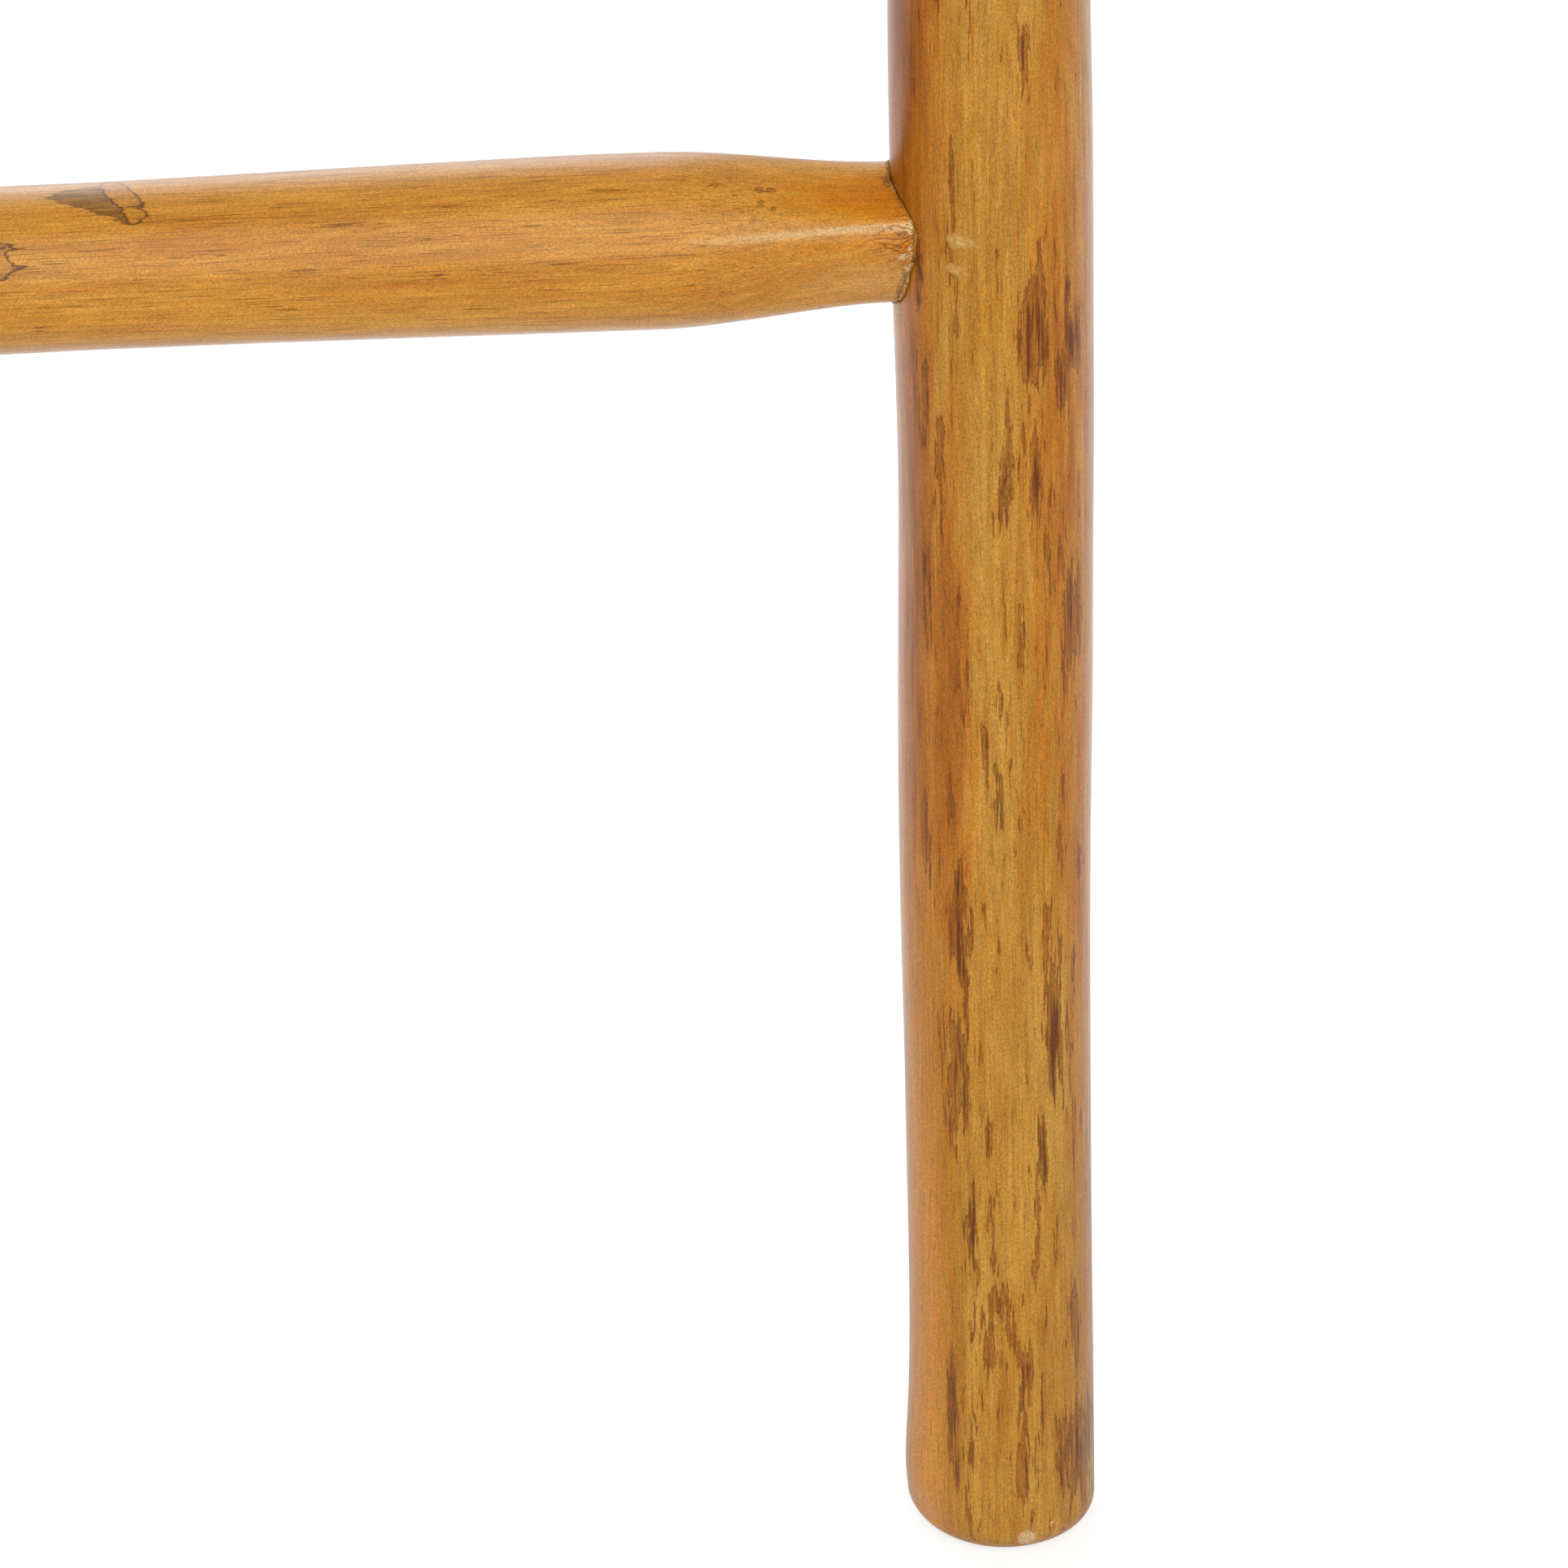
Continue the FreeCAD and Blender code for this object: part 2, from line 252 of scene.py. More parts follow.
for unevenness in ("Flat", "Ripple", "Tear"):
    width, length = size[unevenness + " width"], size[unevenness + " length"]
    stretch = add(peeled, "ShaderNodeCombineXYZ", (width, width, length))
    stretched = add(peeled, "ShaderNodeVectorMath", (in_grain, stretch), operation="DIVIDE")
    waves = add(peeled, "ShaderNodeTexNoise", {"Vector": stretched, "Scale": 1.0, "Detail": 2.0})
    level = add(peeled, "ShaderNodeMath", (waves, 0.5), operation="SUBTRACT")
    if unevenness == "Tear":
        level = add(peeled, "ShaderNodeMath", (level, torn), operation="MULTIPLY")
    depth = size[unevenness + " depth"]
    lift = add(peeled, "ShaderNodeMath", (level, depth, lift), operation="MULTIPLY_ADD")
uncut = add(peeled, "ShaderNodeMath", (1.0, cut), operation="SUBTRACT")
lift = add(peeled, "ShaderNodeMath", (lift, uncut), operation="MULTIPLY")
whole = add(peeled, "GeometryNodeMergeByDistance", (size["Geometry"], True, size["Merge"]))
normal = add(peeled, "GeometryNodeInputNormal")
offset = add(peeled, "ShaderNodeVectorMath", {0: normal, "Scale": lift}, operation="SCALE")
worked = add(peeled, "GeometryNodeSetPosition", {"Geometry": whole, "Offset": offset})
end_tree(peeled, worked, size["Material"])


def linear(colour):
    """The linear colour of an sRGB one written as six hex digits."""
    shares = [int(colour[k:k + 2], 16) / 255 for k in (0, 2, 4)]
    return [s / 12.92 if s <= 0.04045 else ((s + 0.055) / 1.055) ** 2.4 for s in shares] + [1.0]


def new_material(name):
    """A material whose tree is still empty, and that tree."""
    material = bpy.data.materials.new(name)
    material.use_nodes = True
    material.node_tree.nodes.clear()
    return material, material.node_tree


def lacquered_wood(name, tones, figure_strength, pore_length, pore_strength):
    """Peeled wood under a clear satin lacquer. Its patterns lie along the grain, so they are made
    of noise in the tree's own measures: across the pole and, much longer, along it."""
    material, tree = new_material(name)
    tones = {tone: linear(colour) for tone, colour in tones.items()}
    in_grain = add(tree, "ShaderNodeAttribute", attribute_name="in_grain").outputs["Vector"]
    marks = {}
    for mark in ("stain_and_shade", "blush_and_shade", "painted_light", "shaved", "cut", "torn", "bark", "scar", "chip"):
        marks[mark] = add(tree, "ShaderNodeAttribute", attribute_name=mark).outputs["Fac"]

    # width across and length along in metres, and detail
    patterns = {}
    for pattern, width, length, detail in (
        ("cloud", 13 * MM, 80 * MM, 3.0),       # slow changes of tone
        ("figure", 3.5 * MM, 60 * MM, 4.0),     # growth rings met at a slant
        ("fibre", 0.8 * MM, 38 * MM, 3.0),      # bundles of fibres
        ("pore", 0.3 * MM, pore_length, 2.0),   # open vessels, drawn wider than they are, to show
        ("flame", 2.4 * MM, 22 * MM, 4.0),      # the edge of a stain, which creeps along the grain
        ("ragged", 0.9 * MM, 8 * MM, 4.0),      # the same, finer
        ("curl", 1.5 * MM, 4.5 * MM, 2.0),      # torn fibres
        ("speck", 0.4 * MM, 0.6 * MM, 1.0),     # grain of the lacquer
    ):
        scale = (1 / width, 1 / width, 1 / length)
        stretched = add(tree, "ShaderNodeVectorMath", (in_grain, scale), operation="MULTIPLY")
        noise_inputs = {"Vector": stretched, "Scale": 1.0, "Detail": detail}
        patterns[pattern] = add(tree, "ShaderNodeTexNoise", noise_inputs)
    flame = add(tree, "ShaderNodeMath", (patterns["flame"], -0.5), operation="ADD")
    ragged = add(tree, "ShaderNodeMath", (patterns["ragged"], -0.5), operation="ADD")

    cloud = add(tree, "ShaderNodeMath", (flame, 0.8, patterns["cloud"]), operation="MULTIPLY_ADD")
    cloud = add(tree, "ShaderNodeMath", (ragged, 0.6, cloud), operation="MULTIPLY_ADD")
    cloud = add(tree, "ShaderNodeMapRange", (cloud, 0.30, 0.72, 0.0, 1.0))
    # where a knife went along, the wood is smooth and clean
    clean = add(tree, "ShaderNodeMath", (marks["shaved"], -0.7, 1.0), operation="MULTIPLY_ADD")
    figure = add(tree, "ShaderNodeMapRange", (patterns["figure"], 0.46, 0.74, 0.0, figure_strength))
    figure = add(tree, "ShaderNodeMath", (figure, clean), operation="MULTIPLY")

    # a blush is orange where it is weak and russet where it is strong; on the right rail's sides, beside its
    # lowest joint and on a neck's upper face it is partly painted shade
    blush_and_shade = add(tree, "ShaderNodeMath", (flame, 0.9, marks["blush_and_shade"]), operation="MULTIPLY_ADD")
    orange = add(tree, "ShaderNodeMapRange", (blush_and_shade, 0.18, 0.65, 0.0, 0.85))
    russet = add(tree, "ShaderNodeMapRange", (blush_and_shade, 0.5, 1.0, 0.0, 0.9))

    # a stain is where the painted mark and the ragged noise together pass a level: a brown veil with a
    # darker rim, as a dried puddle has, and dark threads along the grain where it is strongest. At the
    # lowest rung's right shoulder the same mark is painted shade in the open joint
    stain_and_shade = add(tree, "ShaderNodeMath", (flame, 1.9, marks["stain_and_shade"]), operation="MULTIPLY_ADD")
    stain_and_shade = add(tree, "ShaderNodeMath", (ragged, 1.6, stain_and_shade), operation="MULTIPLY_ADD")
    veil = add(tree, "ShaderNodeMapRange", (stain_and_shade, 0.37, 0.52, 0.0, 0.5))
    thread = add(tree, "ShaderNodeMath", (patterns["fibre"], -0.5), operation="ADD")
    thread = add(tree, "ShaderNodeMath", (thread, 2.2, stain_and_shade), operation="MULTIPLY_ADD")
    thread = add(tree, "ShaderNodeMapRange", (thread, 0.68, 1.15, 0.0, 0.85))

    # painted light: a painted highlight along a neck's ridge, and painted brightness on a neck's underside
    # and in bands along a pole's side
    painted_light = add(tree, "ShaderNodeMath", (ragged, 0.8, marks["painted_light"]), operation="MULTIPLY_ADD")
    painted_light = add(tree, "ShaderNodeMapRange", (painted_light, 0.2, 1.0, 0.0, 0.6))

    # outlines are painted as 0.5 on the line, more within and less without. Bark left on is dark and
    # streaky, and ends at a healed scar
    scar = add(tree, "ShaderNodeMath", (ragged, 0.35, marks["scar"]), operation="MULTIPLY_ADD")
    healed = add(tree, "ShaderNodeMapRange", (scar, 0.48, 0.52, 0.0, 1.0))
    not_healed = add(tree, "ShaderNodeMath", (1.0, healed), operation="SUBTRACT")
    bark_edge = add(tree, "ShaderNodeMath", (ragged, 0.5, marks["bark"]), operation="MULTIPLY_ADD")
    bark = add(tree, "ShaderNodeMapRange", (bark_edge, 0.46, 0.54, 0.0, 0.9))
    bark = add(tree, "ShaderNodeMath", (bark, not_healed), operation="MULTIPLY")
    streaky = add(tree, "ShaderNodeMath", (patterns["fibre"], ragged), operation="ADD")
    streaky = add(tree, "ShaderNodeMapRange", (streaky, 0.4, 0.68, 0.0, 0.6))
    bark_tone = add(tree, "ShaderNodeMix", (streaky, tones["bark"], tones["light"]), data_type="RGBA")
    sunk = add(tree, "ShaderNodeMath", (healed, 0.2), operation="MULTIPLY")
    chip = add(tree, "ShaderNodeMath", (patterns["speck"], -0.5), operation="ADD")
    chip = add(tree, "ShaderNodeMath", (chip, 0.5, marks["chip"]), operation="MULTIPLY_ADD")
    chip = add(tree, "ShaderNodeMath", (ragged, 0.4, chip), operation="MULTIPLY_ADD")
    chip = add(tree, "ShaderNodeMapRange", (chip, 0.45, 0.6, 0.0, 0.9))

    pore = add(tree, "ShaderNodeMapRange", (patterns["pore"], 0.58, 0.68, 0.0, 1.0))
    strength = add(tree, "ShaderNodeMath", (veil, 0.5, pore_strength), operation="MULTIPLY_ADD")
    strength = add(tree, "ShaderNodeMath", (strength, clean), operation="MULTIPLY")
    dark = add(tree, "ShaderNodeMath", (pore, strength), operation="MULTIPLY")

    # end grain: rings round the pith, and cracks from drying that run out from it
    off_axis = add(tree, "ShaderNodeVectorMath", (in_grain, (1, 1, 0)), operation="MULTIPLY")
    out = add(tree, "ShaderNodeVectorMath", [off_axis], operation="LENGTH").outputs["Value"]
    waver = add(tree, "ShaderNodeTexNoise", {"Vector": off_axis, "Scale": 90.0, "Detail": 2.0})
    ring = add(tree, "ShaderNodeMath", (waver, 9.0), operation="MULTIPLY")
    ring = add(tree, "ShaderNodeMath", (out, 2 * math.pi / (2.1 * MM), ring), operation="MULTIPLY_ADD")
    ring = add(tree, "ShaderNodeMath", [ring], operation="SINE")
    ring = add(tree, "ShaderNodeMapRange", (ring, -0.4, 1.0, 0.0, 0.75))
    grain = add(tree, "ShaderNodeMix", (ring, tones["light"], tones["brown"]), data_type="RGBA")
    ray = add(tree, "ShaderNodeVectorMath", [off_axis], operation="NORMALIZE")
    ray = add(tree, "ShaderNodeTexNoise", {"Vector": ray, "Scale": 5.0, "Detail": 3.0})
    check = add(tree, "ShaderNodeMapRange", (ray, 0.60, 0.64, 0.0, 0.8))
    grain = add(tree, "ShaderNodeMix", (check, grain, tones["pore"]), data_type="RGBA")
    cut = add(tree, "ShaderNodeMapRange", (marks["cut"], 0.35, 0.75, 0.0, 1.0))

    # torn fibres by the joint part along wavy cracks, and one lip of each crack stands up
    torn = add(tree, "ShaderNodeMapRange", (marks["torn"], 0.08, 0.32, 0.0, 1.0))
    lip = add(tree, "ShaderNodeMapRange", (patterns["curl"], 0.49, 0.56, 0.0, 1.0))
    lip = add(tree, "ShaderNodeMath", (lip, torn), operation="MULTIPLY")
    raised = add(tree, "ShaderNodeMath", (lip, 0.12), operation="MULTIPLY")

    # dark lines where a field passes a level: from how far off it they fade, to how far, and strength
    lines = []
    for field, level, near_level, far, strength in (
        (stain_and_shade, 0.49, 0.02, 0.09, 0.6),              # a stain's rim
        (bark_edge, 0.5, 0.01, 0.06, 0.6),           # the edges of bark and of a scar, which the
        (scar, 0.5, 0.015, 0.05, 0.85),              # noise makes jagged across the grain
        (patterns["curl"], 0.48, 0.008, 0.034, 0.8), # cracks
    ):
        off = add(tree, "ShaderNodeMath", (field, -level), operation="ADD")
        off = add(tree, "ShaderNodeMath", [off], operation="ABSOLUTE")
        lines.append(add(tree, "ShaderNodeMapRange", (off, near_level, far, strength, 0.0)))
    rim, bark_line, scar_line, crack = lines
    thread = add(tree, "ShaderNodeMath", (thread, rim), operation="MAXIMUM")
    bark_line = add(tree, "ShaderNodeMath", (bark_line, not_healed), operation="MULTIPLY")
    line = add(tree, "ShaderNodeMath", (scar_line, bark_line), operation="MAXIMUM")
    crack = add(tree, "ShaderNodeMath", (crack, torn), operation="MULTIPLY")

    # each layer of colour covers its share of those before it
    colour = add(tree, "ShaderNodeMix", (cloud, tones["light"], tones["honey"]), data_type="RGBA")
    for share, tone in (
        (figure, tones["brown"]),
        (orange, tones["orange"]),
        (russet, tones["russet"]),
        (veil, tones["veil"]),
        (thread, tones["stain_and_shade"]),
        (painted_light, tones["painted_light"]),
        (bark, bark_tone),
        (sunk, tones["veil"]),
        (line, tones["stain_and_shade"]),
        (chip, tones["pale"]),
        (dark, tones["pore"]),
        (cut, grain),
        (raised, tones["pale"]),
        (crack, tones["crack"]),
    ):
        colour = add(tree, "ShaderNodeMix", (share, colour, tone), data_type="RGBA")
    speck = add(tree, "ShaderNodeMapRange", (patterns["speck"], 0.25, 0.75, 0.72, 1.28))
    fibre = add(tree, "ShaderNodeMapRange", (patterns["fibre"], 0.3, 0.7, 1.12, 0.88))
    speck = add(tree, "ShaderNodeMath", (speck, fibre), operation="MULTIPLY")
    colour = add(tree, "ShaderNodeVectorMath", {0: colour, "Scale": speck}, operation="SCALE")

    # relief in metres: open pores and scars sink, fibres and torn lips stand up
    relief = add(tree, "ShaderNodeMath", (pore, -0.035 * MM), operation="MULTIPLY")
    for pattern, rise in (
        (patterns["fibre"], 0.05 * MM),
        (patterns["speck"], 0.02 * MM),
        (lip, 0.35 * MM),
        (crack, -0.3 * MM),
        (bark, -0.15 * MM),
        (healed, -0.3 * MM),
        (line, -0.1 * MM),
    ):
        relief = add(tree, "ShaderNodeMath", (pattern, rise, relief), operation="MULTIPLY_ADD")
    bump = add(tree, "ShaderNodeBump", {"Height": relief, "Distance": 1.0, "Strength": 0.8})

    rough = add(tree, "ShaderNodeMapRange", (patterns["fibre"], 0.3, 0.7, 0.36, 0.5))
    rough = add(tree, "ShaderNodeMath", (stain_and_shade, 0.08, rough), operation="MULTIPLY_ADD")
    soaked = add(tree, "ShaderNodeMapRange", (cut, 0.0, 1.0, 1.0, 0.25))       # end grain drinks lacquer
    shader = add(tree, "ShaderNodeBsdfPrincipled", {
        "Base Color": colour,
        "Roughness": rough,
        "Normal": bump,
        "IOR": 1.4,
        "Specular IOR Level": 0.1,
        "Coat Weight": soaked,
        "Coat Roughness": 0.3,
        "Coat IOR": 1.36,
    })
    add(tree, "ShaderNodeOutputMaterial", {"Surface": shader})
    return material


def painted(mesh, name, values):
    """Gives every point of a mesh its value of what the material reads under that name."""
    mesh.attributes.new(name, "FLOAT", "POINT").data.foreach_set("value", values.astype(np.float32))


def in_tree(mesh, grain_start):
    """Where each point is in its tree: turn from the front in degrees, distance from the pith, and
    distance along from where that piece of the tree starts."""
    flat = np.empty(3 * len(mesh.vertices), np.float32)
    mesh.attributes["in_grain"].data.foreach_get("vector", flat)
    x, y, along = flat.reshape(-1, 3).T
    return np.degrees(np.arctan2(x, -y)), np.hypot(x, y), along - grain_start


def near(turn, out, along, at, mark_turn, length, width):
    """How near each point is to a mark at (along mm, turn) of a length and a width in mm: 1 in its
    middle, a half on its outline."""
    u = (along - at * MM) * 2 / (length * MM)
    v = np.radians((turn - mark_turn + 180) % 360 - 180) * out * 2 / (width * MM)
    return np.exp2(-(u * u + v * v))


def marked(places, marks):
    """The strongest of some marks at each point. A mark is near()'s measures and its strength."""
    field = np.zeros(len(places[0]))
    for *mark, strength in marks:
        field = np.maximum(field, strength * near(*places, *mark))
    return field


# The stains are what is left of the cambium under the bark, each with its height, turn, length, width
# and strength. Those on the lower front of the right rail are where they really are; the rest of both
# rails has its own.
front_stains = [
    (422, 15, 14, 2.9, 0.8), (389, -27, 17, 1.7, 0.7), (351, -25, 13, 1.3, 0.8), (331, -47, 21, 3.3, 0.75),
    (317, -37, 22, 3.4, 0.7), (296, -38, 20, 2.0, 0.5), (347, 17, 37, 2.6, 1.0), (346, 25, 37, 3.2, 1.1),
    (343, 50, 14, 5.0, 1.2), (332, 42, 14, 3.5, 1.2), (357, 46, 4, 3.2, 1.1), (317, 45, 9, 1.9, 0.6),
    (315, 5, 24, 3.7, 0.85), (310, 21, 24, 3.2, 0.9), (303, 34, 9, 2.1, 0.6), (287, 29, 16, 2.4, 0.95),
    (272, 48, 36, 6.2, 0.75), (267, 13, 18, 1.9, 1.0), (282, -48, 7, 2.3, 0.8), (266, -48, 21, 2.6, 0.6),
    (246, 0, 12, 2.9, 0.65), (233, -9, 10, 1.4, 1.0), (219, 0, 24, 4.1, 0.6), (205, -51, 21, 3.0, 0.95),
    (220, -31, 15, 2.8, 0.6), (197, -28, 16, 3.2, 0.9), (180, -26, 23, 5.4, 0.95), (143, -29, 32, 5.1, 1.0),
    (207, 37, 9, 2.2, 0.75), (198, 59, 9, 3.9, 0.8), (184, 29, 10, 2.0, 0.8), (158, 35, 35, 6.0, 0.9),
    (172, 51, 12, 3.0, 0.7), (175, 17, 9, 2.2, 0.5), (132, 40, 8, 3.6, 0.7), (119, 24, 17, 3.4, 1.1),
    (104, 20, 10, 2.1, 0.85), (103, -22, 17, 4.0, 0.8), (100, -56, 16, 3.1, 0.65), (126, -13, 11, 4.7, 0.5),
    (74, -8, 41, 9.4, 0.5), (70, -22, 15, 1.6, 0.95), (84, 19, 15, 1.4, 0.7), (66, 48, 30, 4.3, 0.7),
    (366, -50, 3, 1.4, 1.5), (362, -48, 3.5, 1.2, 1.6), (359.5, -46, 2, 2, 1.5), (364, -52, 4, 1, 1.4),
    (57, 12, 10, 2.7, 1.0), (44, -35, 27, 3.0, 1.2), (25, -33, 12, 1.5, 1.0), (36, -22, 44, 4.0, 0.65),
    (45, 8, 15, 3.5, 0.8), (26, 9, 21, 5.8, 0.75), (28, 55, 26, 15.3, 0.95), (355, -50, 5, 2.5, 1.0),
]
front_height = 440                      # in mm, to which these stains go up
# how many stains and blushes of its own each rail has, and between which heights in mm
stain_count, stained = 260, (5, 1795)
blush_count, blushed = 24, (0, 1803)
# broad orange and russet parts, which on the right rail's sides and beside its lowest joint are partly
# painted shade, bright bands painted along a pole's side in place of light, chips off the edge of a foot,
# and slight swellings and hollows of the pole, with their rise in mm in place of a strength
blushes_and_shade = {
    "left_rail": [],
    "right_rail": [
        (425, -66, 190, 26, 1.0), (290, -60, 260, 20, 0.85), (100, -58, 200, 20, 0.4),
        (240, -32, 170, 12, 0.85), (330, 42, 260, 26, 0.65), (200, 62, 200, 18, 0.6), (60, 62, 120, 14, 0.4),
    ],
}
painted_sheens = {"left_rail": [(150, -50, 220, 14, 0.7)], "right_rail": [(45, -65, 240, 18, 1.2)]}
chips = {
    "left_rail": [(9, -60, 4, 7, 0.8)],
    "right_rail": [(5, 11, 5, 5, 1.0), (8, 30, 5, 9, 0.5), (5, 34, 8, 14, 0.43)],
}
swellings = {
    "left_rail": [(120, 100, 90, 26, -1.0), (250, -80, 110, 26, 1.0), (700, 60, 90, 30, -0.9)],
    "right_rail": [
        (305, -90, 80, 30, -1.3), (196, -90, 80, 30, 0.5), (62, -90, 90, 30, -1.0), (432, -90, 60, 30, 0.6),
        (390, 90, 90, 30, 0.9), (320, 90, 80, 30, 0.9), (246, 90, 100, 30, 1.2), (150, 90, 80, 30, 0.4),
        (3, -58, 14, 24, -2.6), (16, -88, 30, 24, 0.9),
    ],
}
rail_wood = lacquered_wood(
    "rail_wood",
    {
        "light": "CC963C", "honey": "BA7C1C", "brown": "9E5E0E", "orange": "C87820", "russet": "96500A",
        "veil": "90520F", "stain_and_shade": "6A300A", "bark": "7A5C3A", "pale": "DDBB88", "pore": "643A10",
        "crack": "64320A", "painted_light": "F09C3C",
    },
    figure_strength=0.45,
    pore_length=8 * MM,
    pore_strength=0.4,
)
for name, own in rails.items():
    sheet = shaped(name, pole, {**rail_sizes, **own, "Material": rail_wood})
    places = in_tree(sheet.data, own["Grain start"])
    painted(sheet.data, "rise", sum(near(*places, *mark) * rise * MM for *mark, rise in swellings[name]))
    rail = shaped(name + "_pole", peeled, {**peeled_rail, "Material": rail_wood}, sheet.data)
    bpy.data.objects.remove(sheet)
    places = in_tree(rail.data, own["Grain start"])
    chance = np.random.default_rng(int(own["Grain start"]))
    stains_and_shade = []
    for _ in range(stain_count):
        at, mark_turn = chance.uniform(*stained), chance.uniform(-180, 180)
        if name == "right_rail" and at < front_height and abs(mark_turn) < 90:
            continue
        length = chance.choice((9, 15, 22, 32, 60), p=(0.25, 0.3, 0.25, 0.15, 0.05))
        width, strength = chance.uniform(1.5, 6), chance.uniform(0.5, 1.1)
        stains_and_shade.append((at, mark_turn, length * chance.uniform(0.8, 1.2), width, strength))
    if name == "right_rail":
        stains_and_shade += front_stains
    painted(rail.data, "stain_and_shade", marked(places, stains_and_shade))
    for _ in range(blush_count):
        at, mark_turn = chance.uniform(*blushed), chance.uniform(-180, 180)
        if name == "left_rail" or at > front_height or abs(mark_turn) > 90:
            length, width = chance.uniform(150, 500), chance.uniform(14, 40)
            blushes_and_shade[name].append((at, mark_turn, length, width, chance.uniform(0.4, 1.0)))
    for attribute, own_marks in (("blush_and_shade", blushes_and_shade), ("painted_light", painted_sheens), ("chip", chips)):
        painted(rail.data, attribute, marked(places, own_marks[name]))
    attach(rail, "root")
    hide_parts(name)

# ================================================================================= the five rungs
# Each rung is a thinner peeled branch. Its two ends are shaved down by hand to a four-square neck,
# one corner of which faces the front, and go on into the rails as round tenons. The shoulder round
# a tenon is coped, so that it follows the round rail.

first_rung_height, rung_pitch = 367 * MM, 300 * MM
rung_middle, rung_swell, rung_neck = 41.2 / 2 * MM, 44 / 2 * MM, 35 / 2 * MM      # radii
neck_squareness = 3.6
shave_length, swell_fade = 58 * MM, 84 * MM
rung_bow = 1.6 * MM
tenon_radius, tenon_past_centre, tenon_chamfer = 12 * MM, 10 * MM, 1.5 * MM
glue_line = 0.25 * MM
# the ridge is broken off over the last few millimetres, and just below it the fibres are torn: depth
# and length, place and width round the branch from the ridge, and how far back from the edge it runs
ridge_break, ridge_break_length, ridge_break_back = 2.4 * MM, 3.5 * MM, 7 * MM
ridge_break_turn, ridge_break_width = math.radians(-10), math.radians(32)
torn_turn, torn_width = -9, 24                          # in degrees
torn_length, torn_longer = 1.5 * MM, 5.5 * MM           # anywhere, and that much more below the ridge
# of each branch: girth, rise of the right end, side it bows to, turn of the shaved corner
branches = [
    (1.0, 0.0, 200, 20),
    (0.965, 3 * MM, 80, 40),
    (1.02, -4 * MM, 300, 12),
    (0.95, 2.5 * MM, 150, 33),
    (0.985, -2 * MM, 20, 25),
]
plain_step, neck_step, rung_sides = 1.2 * MM, 0.5 * MM, 128
finely_drawn = 30 * MM                  # how much of each end has the finer step
sharp_angle = math.radians(50)
peeled_rung = {**peeled_rail, "Flat width": 14 * MM, "Flat length": 80 * MM}


def eased(share):
    """0 to 1 with a smooth start and end."""
    share = np.clip(share, 0, 1)
    return share * share * (3 - 2 * share)


def bell(value, middle, width):
    """1 in the middle, falling off to each side as a bell does."""
    return np.exp(-(((value - middle) / width) ** 2))


